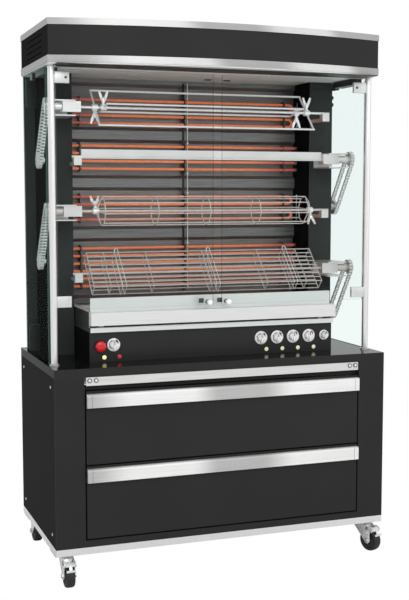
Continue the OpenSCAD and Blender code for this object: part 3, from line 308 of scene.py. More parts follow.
# lamp lenses: lit from inside, each in its colour
lensYellow = satinMetal("lensYellow", "#fffcc4", "#f8f2aa", 0.15, 0.0, 40, 0.35)
lensRed = satinMetal("lensRed", "#d2464c", "#b8343c", 0.15, 0.0, 40, 0.12)
lensGreen = satinMetal("lensGreen", "#e6f6cc", "#d8ecb8", 0.15, 0.0, 40, 0.2)
# door clamps: dull brushed steel
clampSteel = brushedSteel("clampStainless", "Z", "#dcdedd", "#cfd1d0", 0.36, metallic=0.6)
# door posts: bright tube
postSteel = brushedSteel("postStainless", "Z", "#f4f4f4", "#e6e6e6", 0.28, metallic=0.8)
# screws and rollers: burnished dark
darkScrew = satinMetal("burnishedScrew", "#5c605e", "#484c4a", 0.35)
# collars and comb rail: matt black ceramic
collarBlack = satinMetal("blackCeramic", "#1c1b1a", "#121110", 0.5, 0.0, 120)
# downlights: opal glass
opalLens = satinMetal("opalLens", "#f4f4ee", "#e8e8e0", 0.2, 0.0, 60)
# caster forks: bright zinc pressing
zincBright = satinMetal("zincBrightPressing", "#f0f2f3", "#d8dadb", 0.32, 0.6, 120)
# wheel hubs: dark grey moulding
hubGrey = satinMetal("hubGreyPlastic", "#3a3b3c", "#303132", 0.5, 0.0, 200)


def heatingRod(name, side):
    # tubular element, its sheath heated to orange, its cold ends by one wall dull pink
    material, tree, shader = startMaterial(name)
    along = addNode(tree, "ShaderNodeMapRange", {"From Min": side * 0.27, "From Max": side * 0.38},
                    {"Value": coordinate(tree, "Object", "X")})
    mottle = stretchedNoise(tree, (60, 200, 200), 3)
    hot = ramp(tree, mottle.outputs[0], [(0.3, srgb("#e07c50")), (0.7, srgb("#f29a6c"))])
    cold = ramp(tree, mottle.outputs[0], [(0.3, srgb("#a8504e")), (0.7, srgb("#c06e6c"))])
    tone = mixedTone(tree, along.outputs[0], hot.outputs[0], cold.outputs[0])
    tree.links.new(tone, shader.inputs["Base Color"])
    setShader(shader, Roughness=0.55, Emission_Color=srgb("#e06a40"), Emission_Strength=0.22)
    return material


# rods of the two walls: the cold end is by their own wall
rodsLeft = heatingRod("hotSheathLeft", -1)
rodsRight = heatingRod("hotSheathRight", 1)

nodeLooks = {
    blackSheet: ["front_frame", "upper_drawer", "lower_drawer", "cabinet_floor", "cabinet_back"],
    blackSideShaded: ["left_side_panel", "right_side_panel"],
    hoodBlack: ["hood_shell"],
    blackGloss: ["worktop"],
    panelBlack: ["control_box"],
    darkWall: ["motor_walls", "rear_panel"],
    steelAlong: ["pull_out_shelf", "spit_brackets"],
    sillSteel: ["tray_housing"],
    traySteel: ["drip_tray"],
    trimSteel: ["hood_trims"],
    steelDepth: ["bottom_frame"],
    steelWithPaintedReflections: ["upper_drawer_grip", "lower_drawer_grip"],
    steelUpright: ["left_door_post", "right_door_post"],
    fittingSteel: ["glass_fittings"],
    reflectorSheet: ["reflectors"],
    ceilingSheet: ["ceiling_panel"],
    wireSteel: ["spit_1"],
    bladeSteel: ["spit_2"],
    gridSteel: ["spit_3", "spit_4"],
    chainSteel: ["drive_chains"] + ["motor_sprocket_%d" % i for i in range(1, 5)],
    combSteel: ["element_supports"],
    zincPlate: ["drawer_runners", "caster_plates", "brake_pedal_left", "brake_pedal_right"]
    + ["caster_" + p for p in ("front_left", "front_right", "rear_left", "rear_right")],
    motorPaint: ["gear_motors"],
    knobSilver: ["selector_knob"] + ["dial_%d" % i for i in range(1, 6)],
    tyreRubber: ["wheel_" + p for p in ("front_left", "front_right", "rear_left", "rear_right")],
    stopRed: ["stop_button"],
    doorGlass: ["left_door_glass", "right_door_glass"],
    sideGlassLook: ["side_glass"],
    rodsLeft: ["heating_elements"],
}
for look, names in nodeLooks.items():
    for name in names:
        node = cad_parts[name]
        node.data.materials.clear()
        node.data.materials.append(look)
print("materials done")


def mm(*values):
    return tuple(v / 1000 for v in values)


def deselectAll():
    if bpy.context.object and bpy.context.object.mode == "EDIT":
        bpy.ops.object.mode_set(mode="OBJECT")
    bpy.ops.object.select_all(action="DESELECT")


def selectOnly(piece):
    deselectAll()
    piece.select_set(True)
    bpy.context.view_layer.objects.active = piece


def turnedShape(profile, sides=48):
    # a turned solid about Z: profile is (radius, height) in millimetres, from the foot up
    deselectAll()
    radius, height = profile[0]
    bpy.ops.mesh.primitive_circle_add(vertices=sides, radius=radius / 1000, fill_type="NGON",
                                      location=(0, 0, height / 1000))
    piece = bpy.context.object
    bpy.ops.object.mode_set(mode="EDIT")
    bpy.ops.mesh.select_all(action="SELECT")
    for nextRadius, nextHeight in profile[1:]:
        bpy.ops.mesh.extrude_region_move(
            TRANSFORM_OT_translate={"value": (0, 0, (nextHeight - height) / 1000)})
        grow = nextRadius / radius
        bpy.ops.transform.resize(value=(grow, grow, 1), center_override=(0, 0, nextHeight / 1000))
        radius, height = nextRadius, nextHeight
    bpy.ops.mesh.select_all(action="SELECT")
    bpy.ops.mesh.normals_make_consistent(inside=False)
    bpy.ops.object.mode_set(mode="OBJECT")
    bpy.ops.object.transform_apply(location=True, rotation=True, scale=True)
    return piece


def boxShape(low, high, bevel=0.0, segments=2):
    # a block between two corners in millimetres, its edges bevelled
    deselectAll()
    centre = [(a + b) / 2000 for a, b in zip(low, high)]
    bpy.ops.mesh.primitive_cube_add(size=1, location=centre)
    piece = bpy.context.object
    piece.scale = [(b - a) / 1000 for a, b in zip(low, high)]
    bpy.ops.object.transform_apply(location=True, rotation=True, scale=True)
    if bevel:
        bpy.ops.object.mode_set(mode="EDIT")
        bpy.ops.mesh.select_all(action="SELECT")
        bpy.ops.mesh.bevel(offset=bevel / 1000, segments=segments, affect="EDGES")
        bpy.ops.object.mode_set(mode="OBJECT")
    return piece


def bentWire(points, diameter, closed=False):
    # a wire along points in millimetres, turned from a bevelled curve into a mesh
    deselectAll()
    data = bpy.data.curves.new("wire", "CURVE")
    data.dimensions = "3D"
    data.bevel_depth = diameter / 2000
    data.bevel_resolution = 3
    data.use_fill_caps = True
    spline = data.splines.new("POLY")
    spline.points.add(len(points) - 1)
    for knot, point in zip(spline.points, points):
        knot.co = (*mm(*point), 1)
    spline.use_cyclic_u = closed
    piece = bpy.data.objects.new("wire", data)
    scene.collection.objects.link(piece)
    piece.select_set(True)
    bpy.context.view_layer.objects.active = piece
    bpy.ops.object.convert(target="MESH")
    return bpy.context.object


def placed(piece, move=(0, 0, 0), turn=(0, 0, 0)):
    # turns in degrees, then moves in millimetres; the place ends in the mesh
    selectOnly(piece)
    piece.rotation_euler = [math.radians(a) for a in turn]
    piece.location = mm(*move)
    bpy.ops.object.transform_apply(location=True, rotation=True, scale=True)
    return piece


def copied(piece):
    twin = piece.copy()
    twin.data = piece.data.copy()
    scene.collection.objects.link(twin)
    return twin


def painted(piece, look):
    piece.data.materials.clear()
    piece.data.materials.append(look)
    return piece


def joined(pieces):
    deselectAll()
    for piece in pieces:
        piece.select_set(True)
    bpy.context.view_layer.objects.active = pieces[0]
    if len(pieces) > 1:
        bpy.ops.object.join()
    return bpy.context.object


def finished(pieces, name, body, replaced=(), angle=35):
    # joins what is one piece, shades it, and hangs it on its CAD body
    piece = joined(pieces)
    bpy.ops.object.shade_smooth_by_angle(angle=math.radians(angle))
    piece.name = piece.data.name = name
    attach(piece, body)
    if replaced:
        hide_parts(*replaced)
    return piece


panel = {"front": -160, "dialHeight": 788, "dials": (173, 235, 297, 359), "smallDial": 420, "smallRadius": 18,
         "selector": -368, "selectorRadius": 22.5, "stop": -414, "stopHeight": 784, "lampHeight": 746,
         "lamps": (-400, -347, 195, 257, 318, 380)}
dial = {"radius": 23.5, "skirt": 5, "hub": 12.5, "depth": 19.6, "arc": (-150, 75), "arcRadius": 16.2}


def makeDial(radius, arc):
    # satin skirt with a printed arc and wedge, a hub, and a bar grip with a pointer line
    k = radius / dial["radius"]
    skirt = painted(turnedShape([(radius, 0.3), (radius, dial["skirt"]), (radius - 0.8, dial["skirt"] + 0.9),
                                 (radius - 2.4, dial["skirt"] + 1.3), (radius - 3, dial["skirt"] + 0.8),
                                 (0.4, dial["skirt"] + 0.8)]), knobSilver)
    hub = painted(turnedShape([(dial["hub"] * k, dial["skirt"]), (dial["hub"] * k - 0.6, 12),
                               (dial["hub"] * k - 1.8, 13.2), (0.4, 13.4)]), knobSilver)
    grip = painted(boxShape((-4 * k, -17.5 * k, 6), (4 * k, 17.5 * k, dial["depth"]), 1.6, 3), knobSilver)
    line = boxShape((-1.3, 2, dial["depth"] - 0.4), (1.3, 16.5 * k, dial["depth"] + 0.35), 0.2)
    painted(line, blackPlastic)
    top = dial["skirt"] + 1.0
    steps = 20
    angles = [math.radians(arc[0] + (arc[1] - arc[0]) * i / steps) for i in range(steps + 1)]
    ring = [(dial["arcRadius"] * k * math.sin(a), dial["arcRadius"] * k * math.cos(a), top) for a in angles]
    arcMark = painted(bentWire(ring, 2.4), blackPlastic)
    wedge = turnedShape([(6.4 * k, top - 0.6), (6.4 * k, top + 0.6)], 3)
    wedge = painted(placed(wedge, (11 * k, 13 * k, 0), (0, 0, 20)), blackPlastic)
    ticks = []
    for i in range(7):
        tick = boxShape((-0.5, 18 * k, top - 0.4), (0.5, 20.2 * k, top + 0.4), 0.1)
        ticks.append(painted(placed(tick, turn=(0, 0, -60 + 45 * i)), blackPlastic))
    shaft = painted(turnedShape([(4, -18), (4, 0.5)], 24), zincPlate)
    return joined([skirt, hub, grip, line, arcMark, wedge, shaft] + ticks)


def makeControls():
    where = [("dial_%d" % (i + 1), x, dial["radius"]) for i, x in enumerate(panel["dials"])]
    where += [("dial_5", panel["smallDial"], panel["smallRadius"]),
              ("selector_knob", panel["selector"], panel["selectorRadius"])]
    for name, x, radius in where:
        knob = placed(makeDial(radius, dial["arc"]), (x, panel["front"], panel["dialHeight"]), (90, 0, 0))
        finished([knob], "knob_" + name, name, [name])

    head = painted(turnedShape([(4, -20), (4, 6), (9, 6.4), (9.5, 8), (17.6, 8.2), (18.9, 9), (19, 11.2),
                                (18.2, 13.4), (16, 15.4), (12.4, 17.2), (7.5, 18.4), (3, 18.8),
                                (0.4, 18.9)]), stopRed)
    head = placed(head, (panel["stop"], panel["front"], panel["stopHeight"]), (90, 0, 0))
    finished([head], "stopButtonHead", "stop_button", ["stop_button"], 50)
    collar = painted(turnedShape([(13.5, 0), (13.5, 1.6), (12.6, 2.2), (10.6, 2.2), (10.2, 0.2)]), blackPlastic)
    collar = placed(collar, (panel["stop"], panel["front"], panel["stopHeight"]), (90, 0, 0))
    finished([collar], "stopButtonCollar", "cabinet")

    lamps = []
    for i, x in enumerate(panel["lamps"]):
        bezel = painted(turnedShape([(9, 0), (9, 1.4), (8.6, 1.9), (7.6, 1.9), (7.4, 0.6)], 32), blackPlastic)
        lens = turnedShape([(5.4, -12), (7.5, -2), (7.5, 1.8), (6.9, 2.4), (5.2, 2.8), (2.6, 2.98), (0.4, 3)], 32)
        painted(lens, (lensYellow, lensRed)[i] if i < 2 else lensGreen)
        lamps.append(placed(joined([bezel, lens]), (x, panel["front"], panel["lampHeight"]), (90, 0, 0)))
    finished(lamps, "panelLamps", "cabinet", ["indicator_lamps"], 50)


makeControls()
print("controls done")


def makeScrew(radius, socket=0.55):
    # button head with a socket sunk in it
    shares = [(1, 0), (1, 0.18), (0.86, 0.42), (0.62, 0.54), (socket, 0.56), (socket * 0.96, 0.2)]
    return painted(turnedShape([(radius * across, radius * up) for across, up in shares], 18), zincPlate)


facing = {"left": (0, -90, 0), "right": (0, 90, 0), "front": (90, 0, 0), "back": (-90, 0, 0),
          "up": (0, 0, 0), "down": (180, 0, 0)}


def addScrews(name, body, places, side, radius, look=None):
    model = makeScrew(radius)
    if look:
        painted(model, look)
    screws = [placed(copied(model), place, facing[side]) for place in places]
    bpy.data.objects.remove(model)
    return finished(screws, name, body)


sideScrews = [(y, z) for y in (-230, 230) for z in (173, 667)]
addScrews("leftPanelScrews", "cabinet", [(-600, y, z) for y, z in sideScrews], "left", 5)
addScrews("rightPanelScrews", "cabinet", [(600, y, z) for y, z in sideScrews], "right", 5)
backScrews = [(x, 282, z) for x in (-560, -190, 190, 560) for z in (150, 690)]
addScrews("backPanelScrews", "cabinet", backScrews, "back", 4)
towerScrews = [(x, 230, z) for x in (-530, -300, 0, 300, 530) for z in (760, 1000, 1240, 1480, 1690)]
addScrews("towerBackScrews", "cabinet", towerScrews, "back", 4)
print("screws done")


door = {"postX": 576, "postY": -183, "postRadius": 11.5, "foot": 735.4, "head": 1707.6, "glassHalf": 3,
        "clampLow": (923, 960), "clampHigh": (1655, 1692), "clampX": (516.5, 568.5), "knobX": 34.5, "knobZ": 925}


def makeClamp(low, high, face):
    # stamped clamp plate with a rolled edge against the post; the front plate of a top clamp gets one dished screw
    outer = -1 if face < 0 else 1
    y0 = door["postY"] + outer * door["glassHalf"]
    y1 = y0 + outer * 3
    plate = boxShape((door["clampX"][0], min(y0, y1), low), (door["clampX"][1], max(y0, y1), high), 1.2, 3)
    roll = placed(turnedShape([(3.4, low - 0.5), (3.8, low + 0.3), (3.8, high - 0.3), (3.4, high + 0.5)], 20),
                  (door["clampX"][1] - 1, (y0 + y1) / 2, 0))
    painted(plate, clampSteel)
    painted(roll, clampSteel)
    pieces = [plate, roll]
    if face < 0 and low > 1200:
        head = makeScrew(4.4)
        pieces.append(placed(painted(head, darkScrew), (door["clampX"][0] + 12, y1, (low + high) / 2), (90, 0, 0)))
    return pieces


def makeCatch(side):
    # ball catch inside the glass: a cranked plate, its two screws and a sprung roller
    x, y = (10 if side > 0 else 58), door["postY"] + door["glassHalf"]
    plate = boxShape((x - 9, y, 922), (x + 9, y + 1.6, 938), 0.7)
    body = boxShape((x - 5, y + 1.4, 925), (x + 5, y + 9, 935), 1.6, 3)
    roller = placed(turnedShape([(2, -6), (4, -5.4), (4.6, 0), (4, 5.4), (2, 6)], 20), (x, y + 10, 930), (0, 90, 0))
    pieces = [painted(plate, darkScrew), painted(body, clampSteel), painted(roller, darkScrew)]
    for step in (-7, 7):
        pieces.append(placed(painted(makeScrew(1.8), postSteel), (x + step, y + 1.6, 930), (-90, 0, 0)))
    return pieces


def makeDoor(side, name):
    radius = door["postRadius"]
    foot, head = door["foot"], door["head"]
    post = turnedShape([(radius - 1.5, foot), (radius, foot + 1.5), (radius, foot + 9), (radius - 0.7, foot + 9.6),
                        (radius - 0.7, foot + 10.8), (radius, foot + 11.4), (radius, head - 11.4),
                        (radius - 0.7, head - 10.8), (radius - 0.7, head - 9.6), (radius, head - 9),
                        (radius, head - 1.5), (radius - 1.5, head)], 40)
    post = painted(placed(post, (door["postX"], door["postY"], 0)), postSteel)
    pieces = [post]
    for low, high in (door["clampLow"], door["clampHigh"]):
        for face in (-1, 1):
            pieces += makeClamp(low, high, face)
    outside = turnedShape([(4.8, 0), (6.6, 0.2), (6.6, 2.6), (5.4, 4), (5, 8), (6.8, 11), (9.2, 13.2), (9.5, 16),
                           (9.3, 20), (8, 22.4), (5, 23.6), (0.4, 23.9)], 32)
    x, y, z = door["knobX"], door["postY"], door["knobZ"]
    placed(painted(outside, knobSilver), (x, y - door["glassHalf"], z), (90, 0, 0))
    inside = turnedShape([(4.8, 0), (8, 0.2), (8, 3.4), (7, 4.4), (3.4, 4.5), (3.2, 6)], 32)
    placed(painted(inside, darkScrew), (x, y + door["glassHalf"], z), (-90, 0, 0))
    stem = placed(turnedShape([(4.85, -3), (4.85, 3)], 20), (x, y, z), (90, 0, 0))
    pieces += [outside, inside, painted(stem, postSteel)]
    pieces += makeCatch(side)
    for piece in pieces:
        if side < 0:
            mirrored(piece)
    finished(pieces, name + "DoorFurniture", name + "_door", [name + "_door_post"])


def mirrored(piece):
    selectOnly(piece)
    piece.scale = (-1, 1, 1)
    bpy.ops.object.transform_apply(location=True, rotation=True, scale=True)
    bpy.ops.object.mode_set(mode="EDIT")
    bpy.ops.mesh.select_all(action="SELECT")
    bpy.ops.mesh.flip_normals()
    bpy.ops.object.mode_set(mode="OBJECT")
    return piece


makeDoor(1, "right")
makeDoor(-1, "left")
print("doors done")


heating = {"rodY": 165, "tops": (1634, 1470, 1286, 1099), "pins": (2, 2, 2, 3), "pitch": 27.5, "bendX": 420,
           "tailX": 492, "diameter": 10, "wallX": 454,
           "collarsX": (0, 399.28)}


def makeHairpin(top, side):
    middle = top - heating["pitch"] / 2
    bend = -side * heating["bendX"]
    tail = side * heating["tailX"]
    half = heating["pitch"] / 2
    arc = [(bend - side * half * math.sin(a), heating["rodY"], middle + half * math.cos(a))
           for a in (math.radians(degrees) for degrees in range(0, 181, 15))]
    ends = [(tail, heating["rodY"], top - drop) for drop in (0, heating["pitch"])]
    return bentWire(ends[:1] + arc + ends[1:], heating["diameter"])


def makeHeating():
    for side, look, word in ((-1, rodsLeft, "Left"), (1, rodsRight, "Right")):
        rods = []
        for bay in range(4):
            if (1 if bay % 2 else -1) == side:
                rods += [painted(makeHairpin(heating["tops"][bay] - 2 * k * heating["pitch"], side), look)
                         for k in range(heating["pins"][bay])]
        finished(rods, "heatingRods" + word, "cabinet", ["heating_elements"], 60)

    # glands where the tails pass the wall, collars by the bends, and a light flange strip
    glands, collars, strips = [], [], []
    for bay, top in enumerate(heating["tops"]):
        side = 1 if bay % 2 else -1
        rows = 2 * heating["pins"][bay]
        for k in range(rows):
            z = top - k * heating["pitch"]
            gland = turnedShape([(5.2, 0), (8.4, 0), (8.4, 3), (7.6, 3.8), (7.6, 6.4), (6.8, 7.2), (5.2, 7.2)], 24)
            placed(gland, (side * heating["wallX"], heating["rodY"], z), (0, -side * 90, 0))
            glands.append(painted(gland, combSteel))
            for x in (-side * place for place in heating["collarsX"]):
                collar = turnedShape([(5.3, -4), (8, -4), (8.6, -3.2), (8.6, 3.2), (8, 4), (5.3, 4)], 24)
                collars.append(painted(placed(collar, (x, heating["rodY"], z), (0, 90, 0)), collarBlack))
        x, foot = -side * heating["wallX"], top - (rows - 1) * heating["pitch"] - 8
        strip = boxShape((x - 1.5, heating["rodY"] - 14, foot), (x + 1.5, heating["rodY"] - 11, top + 8), 0.6)
        strips.append(painted(placed(strip, (side * 2, 0, 0)), zincPlate))
    finished(glands, "elementGlands", "cabinet")
    finished(collars, "elementCollars", "cabinet")
    finished(strips, "elementEndStrips", "cabinet")

    # the dark rail that carries the combs, and the thin feeler rod with its beads
    rail = painted(boxShape((-6, 176, 935), (3, 179, 1704), 0.8), collarBlack)
    feeler = [painted(bentWire([(13, 171, 940), (13, 171, 1704)], 3), wireSteel)]
    for top, pins in zip(heating["tops"], heating["pins"]):
        for z in (top + 14, top - (2 * pins - 1) * heating["pitch"] - 14):
            bead = turnedShape([(1.6, -3.5), (3.6, -2.4), (4.2, 0), (3.6, 2.4), (1.6, 3.5)], 16)
            feeler.append(painted(placed(bead, (13, 171, z)), wireSteel))
    finished([rail], "combRail", "cabinet")
    finished(feeler, "feelerRod", "cabinet")


makeHeating()
print("heating done")


spits = {"y": -62, "heights": (1589, 1423, 1238, 1024), "sides": (-1, 1, -1, 1),
         "wideEnds": (-390, 400), "narrowEnds": (-350, 370), "cageEnds": (-406, 400)}


def onSpit(piece, index, angle=0):
    # a piece drawn round a right-hand spit's axis takes its angle, side and height
    placed(piece, turn=(angle, 0, 0))
    if spits["sides"][index] < 0:
        mirrored(piece)
    return placed(piece, (0, spits["y"], spits["heights"][index]))


def wingScrew():
    # clamping collar with chamfers, a threaded stem, and a cast wing head with two ears
    collar = placed(turnedShape([(5, -11), (9, -11), (11, -9), (11, 9), (9, 11), (5, 11)], 28), turn=(0, 90, 0))
    seat = turnedShape([(7, 8), (7, 13), (6, 14), (4.2, 14), (4.2, 17)], 24)
    threads = [(3.6 + 0.5 * (k % 2), 17 + 0.9 * k) for k in range(10)]
    stem = turnedShape([(3.6, 14)] + threads + [(3.6, 27)], 20)
    head = turnedShape([(5, 25), (7.2, 26), (7.2, 32), (6, 34.5), (3.4, 35.6)], 24)
    pieces = [collar, seat, stem, head]
    for side in (-1, 1):
        ear = turnedShape([(3, 0), (4.2, 3), (5, 8), (5.2, 13), (4.6, 17), (3.2, 20), (1.2, 21)], 20)
        ear.scale = (1, 0.4, 1)
        placed(ear)
        pieces.append(placed(ear, (side * 5, 0, 29), (0, side * 22, 0)))
    return joined([painted(piece, wireSteel) for piece in pieces])


def makeSpitDetails():
    wide, narrow, cage = spits["wideEnds"], spits["narrowEnds"], spits["cageEnds"]
    clamps = [(wide[0], 0), (narrow[0], 180), (wide[1], 180), (narrow[1], 0)]
    pieces = [onSpit(placed(wingScrew(), (x, 0, 0)), 0, angle) for x, angle in clamps]
    finished(pieces, "frameWingScrews", "spit_1")
    pieces = [onSpit(placed(wingScrew(), (x, 0, 0)), 2, angle) for x, angle in zip(cage, (160, -20))]
    finished(pieces, "cageWingScrews", "spit_3")

    # the flat cage's closing clips, each a wire bent round both grids with a hook over the top
    clips = []
    for x in (-318, 24, 322):
        for step in (-7, 7):
            ring = [(x + step, y, z) for y, z in ((-22.5, -80), (22.5, -80), (22.5, 80), (-22.5, 80))]
            clips.append(painted(bentWire(ring, 2.6, True), wireSteel))
        hook = [(x - 7, -22, 80), (x - 5, -26, 86), (x, -27, 90), (x + 5, -26, 86), (x + 7, -22, 80)]
        clips.append(painted(bentWire(hook, 2.6), wireSteel))
    finished([onSpit(joined(clips), 3, -45)], "flatCageClips", "spit_4")


makeSpitDetails()
print("spits done")


def makeHoodDetails():
    # two downlights in the ceiling: bezel and lens
    lights = []
    for x, y in ((62, 84), (140, 94)):
        bezel = turnedShape([(13, 0), (13, 2.2), (11.4, 3.4), (8.6, 3.4), (8, 1.6)], 32)
        lens = turnedShape([(8.2, 0.4), (7.8, 2.2), (5, 3.1), (0.4, 3.3)], 32)
        light = joined([painted(bezel, darkScrew), painted(lens, opalLens)])
        lights.append(placed(light, (x, y, 1712), (180, 0, 0)))
    finished(lights, "ceilingDownlights", "cabinet")
    # black flange folded back under the hood's front, with a rolled edge
    flange = boxShape((-572, -262, 1709.4), (572, -176, 1711.8), 0.8)
    roll = bentWire([(-572, -176, 1710), (572, -176, 1710)], 4)
    flangePieces = [painted(flange, blackPlastic), painted(roll, blackPlastic)]
    finished(flangePieces, "hoodFrontFlange", "cabinet")
    # seam strips across the ceiling sheet, with a row of rivet heads
    seams = [painted(boxShape((x - 12, -175, 1710.4), (x + 12, 212, 1712.2), 0.6), ceilingSheet) for x in (-210, 210)]
    rivets = []
    for x in (-218, -202, 202, 218):
        for y in (-140, -40, 60, 160):
            rivets.append(placed(makeScrew(2.6), (x, y, 1710.4), (180, 0, 0)))
    finished(seams + rivets, "ceilingSeams", "cabinet")
    # black cable glands on the right motor wall, beside the clip
    glands = []
    for z in (1632, 1658):
        gland = turnedShape([(9, 0), (9, 4), (7.6, 5), (7.6, 11), (6.4, 12.4), (4, 12.8), (3.6, 9)], 6)
        glands.append(painted(placed(gland, (548, 66, z), (0, 90, 0)), blackPlastic))
    finished(glands, "cableGlands", "cabinet")
    # a black service box behind each door's top bearing
    boxes = []
    for side in (-1, 1):
        box = boxShape((540, -120, 1690), (584, 30, 1711.8), 2.4, 3)
        boxes.append(painted(mirrored(box) if side < 0 else box, blackPlastic))
    finished(boxes, "lampChannels", "cabinet")


makeHoodDetails()
print("hood details done")


def nodeBox(name):
    # a CAD node's box in millimetres
    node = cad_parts[name]
    corners = [node.matrix_world @ Vector(c) for c in node.bound_box]
    return [[pick(c[i] for c in corners) * 1000 for i in range(3)] for pick in (min, max)]


def makeFrontDetails():
    # end plates of the grip channels, and the press studs in the shelf's nosing
    low, high = nodeBox("pull_out_shelf")
    studs = []
    for x in (low[0] + 14, low[0] + 36, high[0] - 36, high[0] - 14):
        ring = turnedShape([(7.5, 0), (7.5, 0.5), (6.6, 0.9), (5.2, 0.9), (5, 0.4)], 28)
        cap = turnedShape([(4.6, 0), (4.6, 1.1), (3.8, 1.7), (0.4, 1.9)], 28)
        studs.append(placed(joined([painted(ring, darkScrew), painted(cap, postSteel)]),
                            (x, low[1] + 0.1, high[2] - 11), (90, 0, 0)))
    finished(studs, "shelfStuds", "pull_out_shelf")
    for name in ("upper", "lower"):
        low, high = nodeBox(name + "_drawer_grip")
        plates = []
        for side in (-1, 1):
            x = high[0]
            plate = boxShape((x - 3.2, low[1] + 0.2, low[2] + 0.4), (x + 0.1, high[1] - 0.5, high[2] - 0.4), 0.5)
            groove = boxShape((x - 17, low[1] - 0.1, low[2] + 0.6), (x - 16, low[1] + 0.5, high[2] - 4), 0.1)
            painted(plate, steelUpright)
            painted(groove, blackPlastic)
            plates += [mirrored(plate), mirrored(groove)] if side < 0 else [plate, groove]
        finished(plates, name + "GripEnds", name + "_drawer")


makeFrontDetails()
print("fronts done")


caster = {"swivelX": 555, "swivelY": 227, "wheelRadius": 40, "trail": 38, "legGap": 16.5, "crown": 95,
          "places": {"front_left": (-1, -1, 0), "front_right": (1, -1, 20), "rear_left": (-1, 1, 180),
                     "rear_right": (1, 1, 180)}}


def cutAway(piece, point, normal):
    # takes off what lies on the normal's side of a plane, and closes the cut
    selectOnly(piece)
    bpy.ops.object.mode_set(mode="EDIT")
    bpy.ops.mesh.select_all(action="SELECT")
    bpy.ops.mesh.bisect(plane_co=mm(*point), plane_no=normal, use_fill=True, clear_outer=True)
    bpy.ops.object.mode_set(mode="OBJECT")
    return piece


def softened(piece, width, segments=2):
    edge = piece.modifiers.new("edge", "BEVEL")
    edge.width = width / 1000
    edge.segments = segments
    edge.limit_method = "ANGLE"
    selectOnly(piece)
    bpy.ops.object.modifier_apply(modifier="edge")
    return piece


def atAxle(piece, x, turn=90):
    # a piece turned about Z goes on the wheel's axle, at x from the caster's middle
    return placed(piece, (x, -caster["trail"], caster["wheelRadius"]), (0, turn, 0))


def pressedLeg(side):
    # one fork leg: a plate cut back to a slant before and behind, with a boss at the axle
    x = side * (caster["legGap"] + 1.5)
    leg = boxShape((x - 1.5, -50, 28.5), (x + 1.5, 26, 97))
    cuts = [((0, 26, 88), (0, 57, -54)), ((0, -31, 97), (0, -52, 19)), ((0, -50, 37), (0, -7, -7)),
            ((0, -30, 28.5), (0, 4, -12))]
    for point, normal in cuts:
        cutAway(leg, point, normal)
    softened(leg, 0.8)
    boss = turnedShape([(11, 0), (11, 1.2), (9.6, 2), (5, 2)], 28)
    atAxle(boss, side * (caster["legGap"] + 2.8), side * 90)
    return [painted(leg, zincBright), painted(boss, zincBright)]


def makeFork(braked):
    pieces = pressedLeg(-1) + pressedLeg(1)
    width = caster["legGap"] + 3
    crown = boxShape((-width, -31, caster["crown"] - 0.5), (width, 24, caster["crown"] + 3), 1.4, 3)
    painted(crown, zincBright)
    rings = [(24, 1), (28.5, 3.2), (29, 5), (27.4, 7.4), (24.4, 8.6), (24.4, 10), (26.8, 10.6), (26.8, 11.6)]
    head = painted(turnedShape([(radius, caster["crown"] + up) for radius, up in rings], 40), zincBright)
    axle = painted(atAxle(turnedShape([(5, -width - 6), (5, width + 6)], 20), 0), zincPlate)
    for side in (-1, 1):
        nut = turnedShape([(8.6, 0), (8.6, 4.4), (7.4, 5.4), (4.6, 5.6)], 6)
        pieces.append(painted(atAxle(nut, side * (width + 0.6), side * 90), zincPlate))
    pieces += [crown, head, axle]
    if braked:
        apron = painted(boxShape((-caster["legGap"], -1.2, -20), (caster["legGap"], 1.2, 14), 0.8), zincBright)
        pieces.append(placed(apron, (0, -30, 84), (-18, 0, 0)))
        for side in (-1, 1):
            ear = turnedShape([(8.5, 0), (8.5, 3), (7.6, 3.4)], 28)
            pieces.append(painted(placed(ear, (side * caster["legGap"], -58, 81), (0, side * 90, 0)), zincBright))
            arm = boxShape((-1.5, -26, -8), (1.5, 4, 7), 0.8)
            pieces.append(painted(placed(arm, (side * (caster["legGap"] + 1.5), -33, 84), (-4, 0, 0)), zincBright))
    return joined(pieces)


def makeWheel():
    # both profiles are the same on the two sides of the middle
    tread = [(27, 11), (29, 13.6), (33, 15), (36.4, 14.4), (38.6, 12), (39.7, 8), (40, 3)]
    disc = [(5.2, 16.1), (10.5, 16.1), (11.6, 15), (12.4, 10), (14, 8.6), (25, 8.6), (28, 11.4)]
    tyre, hub = [turnedShape([(radius, -up) for radius, up in half] + half[::-1], sides)
                 for half, sides in ((tread, 64), (disc, 48))]
    painted(tyre, tyreRubber)
    painted(hub, hubGrey)
    ribs = []
    for k in range(8):
        rib = boxShape((-1.4, 12, -11), (1.4, 27, 11), 0.5)
        ribs.append(painted(placed(rib, turn=(0, 0, 45 * k)), hubGrey))
    return atAxle(joined([tyre, hub] + ribs), 0)


def makeLever():
    # hood over the barrel, a stem, and the ribbed tread bar that the foot presses
    half = caster["legGap"] - 0.8
    barrel = turnedShape([(3, -half - 3.4), (3, -half), (5, -half), (5, half), (3, half), (3, half + 3.4)], 20)
    placed(barrel, (0, -58, 81), (0, 90, 0))
    cover = placed(boxShape((-half, -9, -2.6), (half, 9, 2.6), 1.6, 3), (0, -61, 83.4), (38, 0, 0))
    stem = placed(boxShape((-5.5, -9, -1.6), (5.5, 11, 1.6), 1, 3), (0, -70.5, 73), (62, 0, 0))
    tread = placed(boxShape((-half, -2.6, -4), (half, 2.6, 4), 1.6, 3), (0, -75.6, 64.6), (-8, 0, 0))
    ribs = [placed(boxShape((x - 0.6, -3.2, -3.4), (x + 0.6, 0, 3.4), 0.3), (0, -75.6, 64.6), (-8, 0, 0))
            for x in (-12, -8, -4, 0, 4, 8, 12)]
    return joined([painted(piece, zincBright) for piece in [barrel, cover, stem, tread] + ribs])


